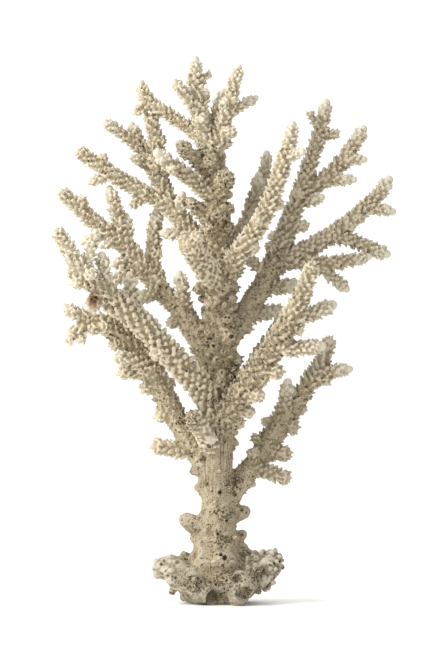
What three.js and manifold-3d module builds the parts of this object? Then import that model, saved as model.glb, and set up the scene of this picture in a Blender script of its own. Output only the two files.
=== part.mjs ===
// A dried colony of branching stony coral, standing on the flat cut under its holdfast.
// Millimetres, +Z up, origin on the cut face under the trunk. The colony faces -Y.
// Every trunk length, limb and fork is a tapering branch that follows a hand-placed growth line.

import * as THREE from 'three';
import { mergeVertices } from 'three/addons/utils/BufferGeometryUtils.js';
import Module from 'manifold-3d';

const wasm = await Module();
wasm.setup();

const GAP = 0.3; // clearance left where one piece of the colony is cut from the next
const RING_SPACING = 2; // distance between a branch's rings, in radii of its thickest point
const MIN_RING_STEP = 15; // the rings of a thin twig stand no closer than this
const THICK = 5; // a branch of this radius or more gets the finer section
const THICK_SIDES = 6;
const THIN_SIDES = 5;
const DOME_HEIGHT = 0.7; // the last ring of a rounded tip: height and radius, in tip radii
const DOME_RADIUS = 0.7;
const LOBE_SIDES = 8;
const LOBE_RINGS = 5;
const CUT_DEPTH = 60; // size of the block that takes the foot off flat at z = 0
const FRAME_STEPS = 60; // frames worked out along a growth line when a branch is bent to it
const ARC_STEPS = 400; // steps used to measure a growth line's length
const WELD = 1e-4; // corners closer than this are one corner
const COLONY_HEIGHT = 300; // height over which the colour pales from tan to bone white

// Growth lines are lists of [x, y, z, radius]. The first point lies inside the piece that it grows from.
const TRUNK = {
  lower: [
    [-1, 0, 22, 17], [-1, 0, 33, 13.2], [-0.5, 0, 45, 10.8], [0, 0, 57, 9.8], [-1, 0, 68, 10.3],
    [-1.7, 0, 81, 11.2], [-0.7, 0, 94, 10.6],
  ],
  middle: [
    [-0.7, 0, 94, 10.6], [0, 0, 106, 10], [1, 0, 120, 9.5], [1.5, 0, 135, 9.5], [1.5, 0, 150, 9],
    [0.5, 1, 165, 9.2], [-0.5, 1, 180, 8.8], [0, 1, 188, 8],
  ],
  upper: [
    [0, 1, 188, 8], [-1, 1, 204, 7], [-1, 1, 216, 7], [-0.5, 0, 228, 7], [-3, 0, 240, 6.5],
    [-4, 0, 249, 6.8],
  ],
};

// The holdfast is a cluster of lobes: centre, then half-widths along x, y and z.
const HOLDFAST_LOBES = [
  [[-1, 1, 8], [21, 17, 12]],
  [[-2, 0, 17], [19, 15, 13.5]],
  [[-24, -3, 19], [12.5, 12, 9]],
  [[-15, -8, 12], [12, 10, 8.5]],
  [[24, 2, 21.5], [12, 9, 7.5]],
  [[22.5, -3, 13], [6, 6, 4.5]],
  [[13, -14, 9.5], [8.8, 8.5, 10]],
  [[-8, 13, 11], [14, 12, 11]],
  [[12, 11, 12], [11, 10, 11]],
];

// Each piece after the trunk: its name, its leading growth line, and the twigs and knobs on it.
const LIMBS = [
  {
    name: 'crown_left',
    line: [
      [-4, 0, 247, 6], [-8, -2, 260, 4.8], [-10, -3, 274, 4.2], [-11.5, -4, 287, 3.4],
      [-12, -5, 298.5, 2.6],
    ],
    twigs: [
      [[-10, -3, 268, 3], [-15, -6, 275, 2.9], [-20, -9, 282, 2.7], [-23.5, -11, 286, 2.2]],
      [[-10.5, -3, 283, 1.7], [-7, -2, 288, 1.7], [-4.5, -1, 291, 1.5]],
      [[-9, 0, 266, 2.9], [-8, 9, 275, 2.6], [-6.5, 16, 283, 2]],
    ],
  },
  {
    name: 'crown_right',
    line: [
      [-3, 0, 247, 5.5], [1, -2, 258, 5], [4.5, -3, 269, 4.5], [8, -4, 280, 3.8], [10.5, -5, 290, 2.9],
      [11.5, -5, 294, 2.3],
    ],
    twigs: [
      [[6, -3, 269, 2.6], [13, 0, 273.5, 2.5], [21, 3, 278, 2.1]],
      [[2, -2, 256, 3], [7.5, -8, 259, 2.9]],
      [[-3, 5, 255, 3.5], [-2, 9, 266, 3.3], [1, 11, 275, 3], [4, 11, 282, 2.3]],
    ],
  },
  {
    name: 'upper_left_spray',
    line: [
      [-4, 2, 249, 4.2], [-13, 5, 259.5, 3.8], [-21, 7, 265.5, 3.6], [-30, 8, 271, 3.5],
      [-37, 9, 275.5, 3.6], [-41, 9, 281, 3.3], [-42.3, 9, 286.5, 2.5],
    ],
    twigs: [[[-38, 9, 274, 2.8], [-44.5, 8, 271.5, 2.3]]],
  },
  {
    name: 'left_front_spur',
    line: [
      [-3, -2, 224, 5], [-11, -6, 230, 4.7], [-19, -11, 236.5, 4.4], [-27, -16, 242, 4.1],
      [-32.5, -20, 246.5, 3],
    ],
  },
  {
    name: 'front_spur',
    line: [[0, -3, 177, 7.4], [-6, -13, 184, 7], [-11.5, -23, 190.5, 6.6], [-15.5, -31, 196, 5.6]],
  },
  {
    name: 'upper_left_limb',
    line: [[0, 2, 188, 6], [-9, 5, 199, 5.7], [-17, 6, 208, 5.7], [-24, 7, 216, 5.9], [-29, 8, 221, 5.6]],
    twigs: [
      [[-15, 6, 206, 3.1], [-22, 5, 203.5, 2.9], [-30, 5, 203.5, 2.4]],
      [[-21, 6, 214, 3], [-20, 3, 220, 2.7], [-19.3, 1, 225, 2.2]],
    ],
  },
  {
    name: 'upper_left_outer_fork',
    line: [
      [-26, 8, 219, 5.2], [-37, 7, 224.5, 5], [-47, 6, 229.5, 4.7], [-56, 5, 235, 4.5],
      [-65, 4, 241, 4.3], [-75, 3, 247.5, 3.3],
    ],
    twigs: [
      [[-61, 4, 240, 2.1], [-63, 2, 246.5, 1.8]],
      [[-58, 5, 236, 2.8], [-65, 6, 233.5, 2.5], [-70.5, 7, 231.7, 2]],
      [[-41, 7, 224, 3.2], [-46.5, 8, 219.5, 2.3]],
      [[-46, 6, 231, 2.8], [-48, 15, 232, 2.7], [-49, 22, 233.5, 2.1]],
    ],
  },
  {
    name: 'upper_left_rear_fork',
    line: [
      [-26, 9, 219, 5.4], [-30.5, 14, 230, 5.2], [-36, 18, 241, 4.9], [-41.5, 21, 250, 4.3],
      [-45.5, 23, 258, 3.5], [-48, 24, 264, 2.6],
    ],
    twigs: [
      [[-42, 21, 250, 3.3], [-49, 20, 256.5, 3.2], [-56, 19, 261.5, 2.9], [-62.5, 18, 265.5, 2.4]],
      [[-37, 18, 241.5, 2.7], [-43, 15, 244, 2.4], [-47.5, 13, 246, 2]],
    ],
  },
  {
    name: 'upper_left_upright_fork',
    line: [[-31, 16, 234, 4.4], [-33, 13, 246, 4.4], [-34.5, 11, 257, 4.1], [-37, 10, 267, 3.5]],
  },
  {
    name: 'left_limb',
    line: [
      [0, 2, 128, 8.5], [-6, 3, 139, 8.5], [-12.5, 4, 149.5, 8.2], [-18.5, 5, 159, 7.4],
      [-26, 6, 167, 6.8], [-32.5, 6, 174.5, 6.3],
    ],
    twigs: [
      [[-17, 4, 160, 4], [-19, 1, 170, 3.6], [-20.5, -1, 178, 3.2], [-21, -2, 181, 2.4]],
      [[-18, 5, 156, 3.6], [-26, 3, 154, 2.6]],
      [[-32, 5, 171, 3.9], [-39, 0, 169, 3.7], [-45.5, -3, 166.5, 3]],
    ],
  },
  {
    name: 'left_outer_fork',
    line: [
      [-31, 6, 173, 6], [-41, 6, 184.5, 5.7], [-48, 6, 194, 5.6], [-56, 6, 201, 5.3],
      [-65, 5, 207.5, 4.9], [-75, 4, 216, 4.4], [-84.5, 3, 225, 3.5],
    ],
    twigs: [
      [[-74, 4, 215, 2.2], [-74.5, 2, 223, 1.9]],
      [[-52, 6, 200, 4], [-54.5, 7, 210, 3.8], [-57, 8, 220, 3.5], [-59.5, 8, 228, 2.5]],
      [[-50, 6, 198, 3.2], [-50, 8, 207, 2.9], [-50.5, 10, 213, 2.3]],
      [[-60, 5, 203, 2.6], [-68, 3, 201, 2.5], [-74.5, 1, 198.3, 2]],
      [[-54, 4, 199, 2.2], [-61, 0, 197, 2], [-64, -2, 196, 1.7]],
      [[-46, 5, 190, 3.2], [-52, 2, 187.5, 3], [-57, -1, 186.5, 2.4]],
      [[-40, 4, 184, 3.2], [-47, 0, 183, 3.2], [-54, -3, 179, 3], [-59, -5, 176.7, 2.4]],
    ],
  },
  {
    name: 'left_upright_fork',
    line: [
      [-32, 7, 175, 4.8], [-36, 10, 188, 4.2], [-35.5, 12, 198, 4], [-34.5, 13, 208, 3.6],
      [-33.7, 13, 215.5, 2.8],
    ],
  },
  {
    name: 'front_left_limb',
    line: [
      [0, -3, 107, 8.2], [-7.5, -8, 117, 7.6], [-15, -14, 126, 7.5], [-23, -20, 134.5, 7],
      [-31, -25, 143.5, 6.8], [-39, -29, 152, 6.8], [-47.5, -33, 159.5, 7], [-56, -36, 166, 7],
    ],
    twigs: [
      [[-43, -31, 157, 3.6], [-45.5, -27, 166, 3.3], [-47, -24, 174, 3.1], [-47.7, -22, 180, 2.4]],
      [[-30, -24, 140, 3.4], [-33, -31, 137, 3]],
    ],
  },
  {
    name: 'front_left_outer_fork',
    line: [
      [-55, -36, 165.5, 7], [-63, -38, 172.5, 6.7], [-69.5, -39, 179, 6], [-75.5, -39, 186, 5.2],
      [-80.5, -38, 194, 4.6], [-86, -37, 202.5, 3.3],
    ],
    twigs: [
      [[-71, -38, 182, 3.2], [-69.3, -35, 190, 3.1], [-67.3, -32, 198, 2.8], [-66, -30, 203, 2.3]],
      [[-59.5, -36, 174, 4], [-61.5, -33, 183, 3.6], [-62.5, -31, 190.5, 2.7]],
      [[-70, -40, 176.5, 3.8], [-76.5, -43, 176, 3]],
      [[-62, -38, 168, 4.6], [-67, -45, 164, 4.1]],
    ],
  },
  {
    name: 'lower_left_limb',
    line: [
      [-4, -1, 73, 9.2], [-12.7, -3, 86.5, 8.2], [-20, -5, 97.5, 7.8], [-26, -7, 107.5, 7.6],
      [-31, -8, 117, 7.2], [-35, -9, 125, 6.6],
    ],
    twigs: [
      [[-14, -3, 83, 5], [-22, -5, 85, 4.6], [-30, -6, 86.3, 4.4], [-33, -7, 86.5, 3.7]],
      [[-25, -7, 105, 4.2], [-32, -9, 103.5, 3.2]],
      [[-32, -9, 117, 3.6], [-40, -11, 119, 2.8]],
    ],
  },
  {
    name: 'lower_left_low_fork',
    line: [[-33, -9, 123, 5.6], [-41, -12, 127.5, 4.6], [-48, -14, 127.7, 4], [-51.5, -15, 127.2, 3.3]],
    twigs: [[[-35, -12, 127.5, 4.4], [-44, -17, 133, 3.8], [-51, -20, 135, 3.2], [-55.5, -22, 135, 2.5]]],
  },
  {
    name: 'lower_left_outer_fork',
    line: [
      [-33.5, -8, 125, 6.6], [-41, -9, 136.5, 6.6], [-49, -11, 145, 6.6], [-57, -13, 151.5, 6.5],
      [-65, -15, 155, 5.8], [-72, -16, 156.7, 4.6], [-78, -17, 159.5, 3.5], [-83, -18, 162.7, 2.6],
    ],
    twigs: [
      [[-69, -15, 153, 3.4], [-77, -18, 149.5, 3.3], [-81.5, -19, 147, 2.7]],
      [[-75, -18, 150, 2.6], [-74, -20, 144.7, 2.2]],
      [[-50, -12, 143, 3.8], [-56.5, -15, 142.5, 3.2]],
    ],
  },
  {
    name: 'inner_right_limb',
    line: [
      [2, -3, 175, 7], [8.5, -7, 187, 6.2], [14.5, -10, 196, 6], [20.5, -13, 205, 5.7],
      [26, -15, 214, 5.6], [30, -17, 224, 5.3], [34, -18, 236, 4.8], [37.7, -19, 248, 4.1],
      [40.3, -20, 257, 3.3], [41, -20, 262, 2.5],
    ],
    twigs: [
      [[36, -18, 244, 2.6], [42, -22, 246, 2.5], [46, -25, 247, 2.3]],
    ],
  },
  {
    name: 'rear_right_spires',
    line: [
      [2, 4, 188, 5], [10, 12, 199, 4.2], [15, 17, 209, 4], [19, 20, 219, 3.9], [22, 22, 229, 3.5],
      [23, 23, 236, 2.7],
    ],
    twigs: [
      [
        [16, 19, 212, 3.3], [22.5, 26, 223, 3.4], [26, 30, 235, 3.3], [27.3, 32, 243, 2.9],
        [27.5, 33, 249, 2.2],
      ],
    ],
  },
  {
    name: 'right_limb',
    line: [
      [3, 3, 139, 8], [9.7, 9, 150.5, 7.9], [16, 14, 161, 7.8], [22, 18, 170, 7.7], [27, 21, 179, 7.3],
      [30.7, 23, 187, 6.8],
    ],
    twigs: [
      [[17, 15, 157, 4.8], [25, 16, 159.5, 4], [32, 17, 160.8, 3.4], [36, 17, 161, 2.8]],
      [[26, 20, 173, 4.8], [34, 21, 174.3, 4.4], [41, 22, 174.7, 3.9], [45.5, 22, 175, 3.2]],
      [[24, 18, 183, 3.4], [19, 13, 188.5, 2.9]],
    ],
  },
  {
    name: 'right_upright_fork',
    line: [
      [29.5, 23, 184, 6.4], [35.5, 24, 197, 6.2], [39.3, 25, 208, 6], [43.3, 26, 219, 5.6],
      [47.3, 27, 230, 5.2], [51, 28, 241, 4.8], [55, 29, 253, 4.4], [58.5, 29, 265, 3.8],
      [60.5, 29, 277, 3],
    ],
    twigs: [
      [[40, 25, 207, 3.4], [45, 22, 208, 3.1], [48.5, 20, 208.5, 2.4]],
      [[57, 29, 263, 2.4], [53, 27, 269, 2], [51.7, 26, 271, 1.7]],
      [[56.5, 29, 256, 2.6], [62, 28, 259, 2.4], [66.5, 27, 259.7, 2]],
    ],
  },
  {
    name: 'right_middle_fork',
    line: [
      [45, 27, 223, 4.9], [54.5, 28, 230.5, 4.8], [63, 29, 237.5, 4.5], [70, 30, 245, 4.1],
      [76.5, 31, 254, 3.7], [81.5, 31, 262.5, 2.8],
    ],
    twigs: [
      [[67, 30, 242, 2.9], [75, 28, 245, 2.6], [82, 26, 245.3, 2.1]],
      [[58, 28, 232, 3.4], [66, 26, 234, 2.9], [76, 24, 234, 2.2]],
      [[47, 27, 222, 3.6], [54, 24, 223, 3], [58, 22, 224, 2.3]],
    ],
  },
  {
    name: 'right_outer_fork',
    line: [
      [30, 23, 185, 6.4], [40.5, 23, 190, 6.2], [50, 24, 195, 5.8], [59, 25, 200.5, 5.3],
      [68, 26, 206.5, 5], [77, 27, 213.5, 4.6], [85, 28, 221, 4.2], [91.5, 28, 228, 3.7],
      [95.7, 28, 234, 2.9],
    ],
    twigs: [
      [[81, 27, 218, 3.2], [90, 24, 218, 3], [97.5, 22, 216, 2.4]],
      [
        [63, 25, 202, 3.8], [74, 22, 200.5, 3.9], [83, 20, 196.7, 3.7], [90, 19, 193.7, 3.5],
        [94, 18, 192.3, 2.8],
      ],
      [[71, 26, 211, 2.8], [80, 22, 212, 2.2]],
    ],
  },
  {
    name: 'right_low_fork',
    line: [
      [40, 23, 188.5, 4.6], [51, 22, 187.5, 4.3], [61, 20, 187.3, 4.1], [71, 18, 188.3, 3.6],
      [79, 17, 190, 2.9], [84, 16, 191, 2.2],
    ],
    twigs: [[[56, 20, 186, 3.3], [63, 19, 180, 3.2], [68, 18, 176.3, 3], [71.7, 17, 173, 2.3]]],
  },
  {
    name: 'front_right_limb',
    line: [
      [2, -4, 96, 8.6], [8, -10, 108, 8.2], [15, -16, 118.5, 7.6], [22, -21, 128.5, 7.4],
      [29, -26, 138.5, 7.1], [35, -30, 148.5, 6.7], [40.2, -33, 157.7, 6.2], [44.5, -36, 167, 5.5],
      [48, -38, 176, 4.6], [50.7, -39, 184, 3.3],
    ],
    twigs: [
      [[42, -34, 156, 4.3], [50, -32, 158.8, 4.2], [58, -31, 162, 4], [62, -30, 163.8, 3.2]],
      [[34, -30, 140.5, 4.8], [42, -30, 140, 4.3], [50, -30, 141, 3.9], [56.5, -30, 141.7, 2.9]],
      [[24, -23, 129, 4.3], [30, -26, 128, 4], [33, -28, 127.5, 3.3]],
      [[14, -17, 116, 4.2], [20.5, -21, 115, 3.6], [23, -23, 114.7, 2.8]],
      [[8, -9, 106, 3.8], [15, -12, 106, 3.2], [18, -14, 105.2, 2.6]],
    ],
  },
  {
    name: 'rear_right_low_limb',
    line: [
      [4, 5, 105, 6], [13.5, 12, 121, 5], [20, 17, 130.5, 4.7], [27, 21, 141, 4.5], [33, 24, 150, 4.2],
      [37, 26, 157, 3.2],
    ],
    twigs: [[[20, 18, 134, 3], [24, 26, 139, 2.7], [27, 32, 144, 2.1]]],
  },
  {
    name: 'lower_right_limb',
    line: [
      [3, 0, 53, 8.6], [10, 3, 64, 8.2], [17.5, 6, 73, 7.8], [24.5, 9, 81.5, 7.6],
      [30.5, 11, 90.5, 7.6], [36.7, 13, 99.5, 7.4], [43, 15, 108.5, 6.9], [49.3, 17, 118, 6.3],
      [55, 18, 127.5, 5.5], [60, 19, 137, 4.5], [62, 20, 143.5, 3.3],
    ],
    twigs: [
      [[54, 18, 124.5, 4.2], [61, 17, 126.7, 3.9], [68, 16, 128, 3.4], [73, 15, 128.5, 2.6]],
      [[37, 13, 104, 4.4], [38.2, 11, 113, 4], [38.8, 10, 121, 3]],
      [[26, 9, 82, 5], [33, 8, 82.3, 4.8], [37.5, 7, 82, 4]],
      [[17, 6, 73, 4.8], [25, 3, 73, 4.7], [32, 1, 70.8, 4.4], [37.5, 0, 69, 3.5]],
      [[36, 13, 98, 4.4], [42, 10, 96.5, 3.7]],
      [[8, 4, 64, 3.2], [15, 6, 65.5, 2.8], [19.7, 7, 65, 2.1]],
      [[53, 18, 123, 3.2], [61, 16, 122, 2.2]],
    ],
  },
  {
    name: 'low_front_spur',
    line: [[-2, -5, 83, 5.6], [-6, -14, 91, 5.1], [-10, -21, 98, 4.9], [-13, -27, 103, 4.2]],
  },
  {
    name: 'rear_low_limb',
    line: [
      [0, 4, 83, 7], [2, 14, 95, 6.4], [3, 23, 107, 6], [4, 31, 119, 5.6], [5, 38, 131, 5],
      [5.5, 44, 142, 4.2], [6, 48, 150, 3.2],
    ],
    twigs: [
      [[3, 24, 108, 3.6], [-4, 33, 114, 3.1], [-7.5, 39, 118, 2.4]],
      [[4, 33, 122, 3.6], [9, 41, 124, 3.1], [13, 47, 126, 2.4]],
      [[2.5, 19, 101, 3.4], [9, 27, 101, 2.8], [12, 31, 102, 2.2]],
    ],
  },
  {
    name: 'rear_left_limb',
    line: [
      [0, 4, 121, 7], [-6, 13, 133, 6.3], [-11, 21, 143, 5.8], [-15, 29, 153, 5.2],
      [-19, 36, 162, 4.5], [-21.5, 41, 168.5, 3.4],
    ],
    twigs: [
      [[-13, 25, 148, 3.3], [-18, 34, 151, 2.9], [-21.5, 41, 154.5, 2.2]],
      [[-9, 18, 139, 3.3], [-6, 28, 142, 2.9], [-4, 35, 146, 2.3]],
    ],
  },
  {
    name: 'rear_middle_limb',
    line: [
      [2, 4, 154, 6.6], [5, 16, 166, 5.8], [6, 26, 178, 5.4], [6, 35, 190, 5], [5, 43, 202, 4.5],
      [3, 49, 213, 3.8], [2, 53, 221, 2.9],
    ],
    twigs: [
      [[6, 30, 184, 3.4], [0, 40, 188, 2.9], [-2.5, 46, 191, 2.2]],
      [[5.5, 38, 195, 3.2], [9, 46, 198, 2.7], [10.7, 51, 199.5, 2.1]],
      [[5.5, 21, 172, 3.2], [0, 30, 172, 2.7], [-3, 35, 173, 2.1]],
    ],
  },
  {
    name: 'rear_crown',
    line: [
      [-2, 2, 227, 5.2], [-3, 12, 238, 4.7], [-4, 20, 248, 4.2], [-5, 27, 258, 3.6],
      [-6, 31.5, 265, 2.8],
    ],
    twigs: [
      [[-3.5, 16, 243, 3.1], [-8.5, 25, 246, 2.7], [-10.5, 30, 248.5, 2.1]],
      [[-3, 14, 240, 3], [1, 24, 243, 2.6], [2, 30, 246, 2]],
    ],
  },
  {
    name: 'right_rear_fork',
    line: [
      [28, 22, 183, 5.2], [33, 32, 192, 4.7], [36, 41, 200, 4.2], [38, 49, 208, 3.7],
      [40, 54, 214.5, 2.8],
    ],
    twigs: [
      [[34, 35, 195, 3.1], [41, 43, 195, 2.8], [45, 48, 195.5, 2.1]],
      [[36, 40, 199, 3], [32, 48, 202, 2.6], [31, 53, 204.5, 2]],
    ],
  },
  {
    name: 'left_rear_fork',
    line: [
      [-24, 8, 166, 5.2], [-31, 18, 172, 4.7], [-37, 27, 178, 4.2], [-42, 35, 185, 3.7],
      [-45.5, 41, 191, 2.8],
    ],
    twigs: [
      [[-35, 24, 176, 3.1], [-35, 33, 173, 2.7], [-36, 39, 171.5, 2.1]],
      [[-39, 30, 181, 2.9], [-46, 33, 182, 2.5], [-50, 35, 184, 2]],
    ],
  },
  {
    name: 'lower_left_rear_fork',
    line: [
      [-22, -4, 103, 5.4], [-27, 6, 113, 4.8], [-31, 15, 122, 4.3], [-35, 24, 131, 3.9],
      [-40, 32, 140, 3.3], [-43, 37, 147, 2.5],
    ],
    twigs: [
      [[-30, 13, 120, 3], [-27, 22, 120, 2.6], [-26, 28, 121.5, 2]],
      [[-34, 22, 129, 3], [-41, 26, 129, 2.6], [-45, 29, 130.5, 2]],
    ],
  },
  {
    name: 'lower_right_rear_fork',
    line: [
      [25, 9, 86, 5.4], [31, 20, 96, 4.7], [35, 29, 103, 4.3], [38, 37, 110, 3.7],
      [40, 42, 115.5, 2.8],
    ],
    twigs: [
      [[32, 23, 98, 3.1], [28, 32, 98, 2.7], [27, 37, 99.5, 2]],
      [[35, 30, 104, 3], [42, 36, 103, 2.6], [45, 39, 104, 2]],
    ],
  },
];

// Knobs and stubs that stand on the trunk's own three lengths.
const TRUNK_KNOBS = {
  lower: [
    [[-6, 0, 42, 6.4], [-13, -1, 43.5, 5.8], [-17, -1, 45.5, 4.9]],
    [[6, 2, 46, 4.8], [14.3, 3, 50, 4.4]],
    [[8, 3, 35, 4], [13.5, 4, 37.5, 3.3]],
    [[8, 2, 29, 4.6], [15, 3, 30, 3]],
    [[0, 6, 52, 4.2], [1, 13, 54, 3.4]],
    [[-5, 6, 66, 3.8], [-8, 13, 69, 3]],
    [[-3, 8, 38, 4], [-5, 15, 39, 3]],
  ],
  middle: [
    [[6, 0, 182, 4], [11.5, -1, 182.7, 2.9]],
    [[3, -4, 146, 4], [6, -11, 147.5, 3.2]],
    [[-4, 6, 176, 3.6], [-7, 13, 179, 2.8]],
  ],
  upper: [
    [[0, -2, 226, 5.2], [3, -10, 230, 5.2], [4.5, -15, 233, 4.8]],
    [[-6, -1, 238, 4], [-14, -8, 245.5, 3.9], [-20.5, -13, 251.5, 3]],
    [[-2, 0, 208, 3.7], [-10, 0, 215, 3.4], [-15, -1, 221, 2.8]],
    [[0, 5, 206, 3.2], [3, 12, 210, 2.5]],
  ],
};

const BONE_WHITE = new THREE.Color(0xd9cfba);
const WARM_TAN = new THREE.Color(0xbfb094);

// The radius a share t of the way along a growth line, straight between its points.
function radiusAt(points, t) {
  const place = t * (points.length - 1);
  const i = Math.min(Math.floor(place), points.length - 2);
  return THREE.MathUtils.lerp(points[i][3], points[i + 1][3], place - i);
}

// A lathe profile of radius against distance, with a flat root and a domed or flat tip.
function profileAlong(points, curve, grow, flatTip) {
  const length = curve.getLength();
  const thickest = Math.max(...points.map((p) => p[3]));
  const step = Math.max(MIN_RING_STEP, RING_SPACING * thickest);
  const rings = Math.max(1, Math.round(length / step));
  const profile = [new THREE.Vector2(0, -grow)];
  for (let i = 0; i <= rings; i++) {
    const share = i / rings;
    const along = i === 0 ? -grow : share * length;
    profile.push(new THREE.Vector2(radiusAt(points, curve.getUtoTmapping(share)) + grow, along));
  }
  const tip = points.at(-1)[3] + grow;
  if (flatTip) {
    profile.at(-1).y = length + grow;
    profile.push(new THREE.Vector2(0, length + grow));
    return profile;
  }
  if (thickest >= THICK) profile.push(new THREE.Vector2(DOME_RADIUS * tip, length + DOME_HEIGHT * tip));
  profile.push(new THREE.Vector2(0, length + tip));
  return profile;
}

// Bends a lathe about its own Y axis so that the axis follows a curve, past both ends if need be.
function bendAlong(lathe, curve) {
  const length = curve.getLength();
  const frames = curve.computeFrenetFrames(FRAME_STEPS, false);
  const position = lathe.getAttribute('position');
  const vertex = new THREE.Vector3();
  for (let i = 0; i < position.count; i++) {
    vertex.fromBufferAttribute(position, i);
    const share = THREE.MathUtils.clamp(vertex.y / length, 0, 1);
    const beyond = vertex.y - share * length;
    const k = Math.round(share * FRAME_STEPS);
    const place = curve.getPointAt(share)
      .addScaledVector(frames.tangents[k], beyond)
      .addScaledVector(frames.binormals[k], vertex.x)
      .addScaledVector(frames.normals[k], vertex.z);
    position.setXYZ(i, place.x, place.y, place.z);
  }
  return lathe;
}

// A closed three.js geometry as a manifold-3d solid.
function solidOf(geometry) {
  const bare = geometry.clone();
  bare.deleteAttribute('normal');
  bare.deleteAttribute('uv');
  const merged = mergeVertices(bare, WELD);
  const index = Array.from(merged.index.array);
  const kept = [];
  for (let i = 0; i < index.length; i += 3) {
    const [a, b, c] = index.slice(i, i + 3);
    if (a !== b && b !== c && a !== c) kept.push(a, b, c);
  }
  return new wasm.Manifold(new wasm.Mesh({
    numProp: 3,
    vertProperties: merged.attributes.position.array,
    triVerts: new Uint32Array(kept),
  }));
}

function branch(points, { grow = 0, flatTip = false } = {}) {
  const curve = new THREE.CatmullRomCurve3(points.map(([x, y, z]) => new THREE.Vector3(x, y, z)));
  curve.arcLengthDivisions = ARC_STEPS;
  const thickest = Math.max(...points.map((p) => p[3]));
  const sides = thickest >= THICK ? THICK_SIDES : THIN_SIDES;
  const lathe = new THREE.LatheGeometry(profileAlong(points, curve, grow, flatTip), sides);
  return solidOf(bendAlong(lathe, curve));
}

function lobe([centre, halfWidths], grow = 0) {
  const sphere = new THREE.SphereGeometry(1, LOBE_SIDES, LOBE_RINGS);
  sphere.rotateX(Math.PI / 2);
  sphere.scale(...halfWidths.map((w) => w + grow));
  sphere.translate(...centre);
  return solidOf(sphere);
}

const joined = (solids) => solids.reduce((all, next) => all.add(next));

// A piece and the same piece grown by the gap, which is what its neighbours are cut back by.
const piece = (name, make) => ({ name, solid: make(0), grown: make(GAP) });

function holdfast() {
  return piece('holdfast', (grow) => {
    const ground = new THREE.BoxGeometry(4 * CUT_DEPTH, 4 * CUT_DEPTH, CUT_DEPTH);
    ground.translate(0, 0, -CUT_DEPTH / 2);
    return joined(HOLDFAST_LOBES.map((l) => lobe(l, grow))).subtract(solidOf(ground));
  });
}

function trunkLength(part) {
  return piece(`${part}_trunk`, (grow) => joined([
    branch(TRUNK[part], { grow, flatTip: true }),
    ...TRUNK_KNOBS[part].map((knob) => branch(knob, { grow })),
  ]));
}

function limb({ name, line, twigs = [] }) {
  return piece(name, (grow) => joined([line, ...twigs].map((points) => branch(points, { grow }))));
}

// Keeps the main body of a solid, where a cut has left a sliver on the far side of its neighbour.
function mainBody(solid) {
  return solid.decompose().sort((a, b) => b.volume() - a.volume())[0];
}

// Cuts each piece back from the ones before it, so that no two overlap.
function cutApart(pieces) {
  return pieces.map(({ name, solid }, i) => {
    const before = pieces.slice(0, i).map((p) => p.grown);
    return { name, solid: before.length ? mainBody(solid.subtract(joined(before))) : solid };
  });
}

function meshOf({ name, solid }) {
  const { vertProperties, triVerts } = solid.getMesh();
  const geometry = new THREE.BufferGeometry();
  geometry.setAttribute('position', new THREE.BufferAttribute(vertProperties, 3));
  geometry.setIndex(new THREE.BufferAttribute(triVerts, 1));
  geometry.computeVertexNormals();
  const paleness = THREE.MathUtils.clamp(solid.boundingBox().max[2] / COLONY_HEIGHT, 0, 1);
  const material = new THREE.MeshStandardMaterial({
    color: WARM_TAN.clone().lerp(BONE_WHITE, paleness),
    roughness: 0.9,
    metalness: 0,
  });
  const mesh = new THREE.Mesh(geometry, material);
  mesh.name = name;
  return mesh;
}

const pieces = [
  trunkLength('lower'),
  trunkLength('middle'),
  trunkLength('upper'),
  holdfast(),
  ...LIMBS.map(limb),
];

const coral = new THREE.Group();
coral.name = 'branching_coral';
for (const made of cutApart(pieces)) coral.add(meshOf(made));

export default coral;
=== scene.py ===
import math

import bpy
import numpy as np
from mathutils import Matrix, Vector, kdtree, noise


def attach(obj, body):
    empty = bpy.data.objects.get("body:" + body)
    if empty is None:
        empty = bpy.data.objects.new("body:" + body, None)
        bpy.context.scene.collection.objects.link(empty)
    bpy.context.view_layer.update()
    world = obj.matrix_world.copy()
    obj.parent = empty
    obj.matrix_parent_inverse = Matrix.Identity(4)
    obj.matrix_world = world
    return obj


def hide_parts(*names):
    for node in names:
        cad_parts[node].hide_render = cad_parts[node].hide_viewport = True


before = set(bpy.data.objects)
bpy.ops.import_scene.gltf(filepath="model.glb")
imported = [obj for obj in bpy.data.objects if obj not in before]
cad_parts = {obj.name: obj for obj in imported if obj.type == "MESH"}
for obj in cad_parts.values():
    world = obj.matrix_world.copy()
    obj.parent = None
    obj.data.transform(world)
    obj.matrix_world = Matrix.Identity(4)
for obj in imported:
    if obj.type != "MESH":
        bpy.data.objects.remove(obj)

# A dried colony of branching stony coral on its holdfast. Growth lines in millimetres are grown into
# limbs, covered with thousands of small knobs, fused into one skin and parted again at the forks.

MM = 0.001
RANDOM = np.random.default_rng(7)

# ---------------------------------------------------------------- driving sizes, in millimetres
SKIN = 0.55  # width of the fused skin's faces
LINE_STEP = 1.0  # spacing of the samples along a growth line
DOME_SHARES = (0.35, 0.65, 0.87, 0.97)  # heights of the rings of a rounded tip, in tip radii
CORE_INSET = 1.95  # how far the limbs' cores lie inside the growth lines' radii, under the knobs
KNOB_SPACING = 2.95  # between neighbouring knobs on a limb
KNOB_STRAY = 0.3  # how far a knob strays around the limb from its place in the spiral
KNOB_BARE_TIP = 1.6  # the growing tip has no knobs
KNOB_RAMP = 9.0  # over this length behind the tip, knobs grow to full size
KNOB_YOUNGEST = 0.65  # size of the knobs next to the tip
BLUNT_RADIUS = 3.3  # a limb that ends thicker than this has knobs all over its end
SHORT_TWIG = 12.0  # and so has a twig that is shorter than this
FIRST_KNOB = 0.6  # distance of the first knob from the start of its limb
TRUNK_KNOBS = (0.45, 1.3)  # smallest and largest knob on the trunk, for a usual size of 1
LIMB_KNOBS = (0.85, 1.15)  # and on a limb
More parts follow.
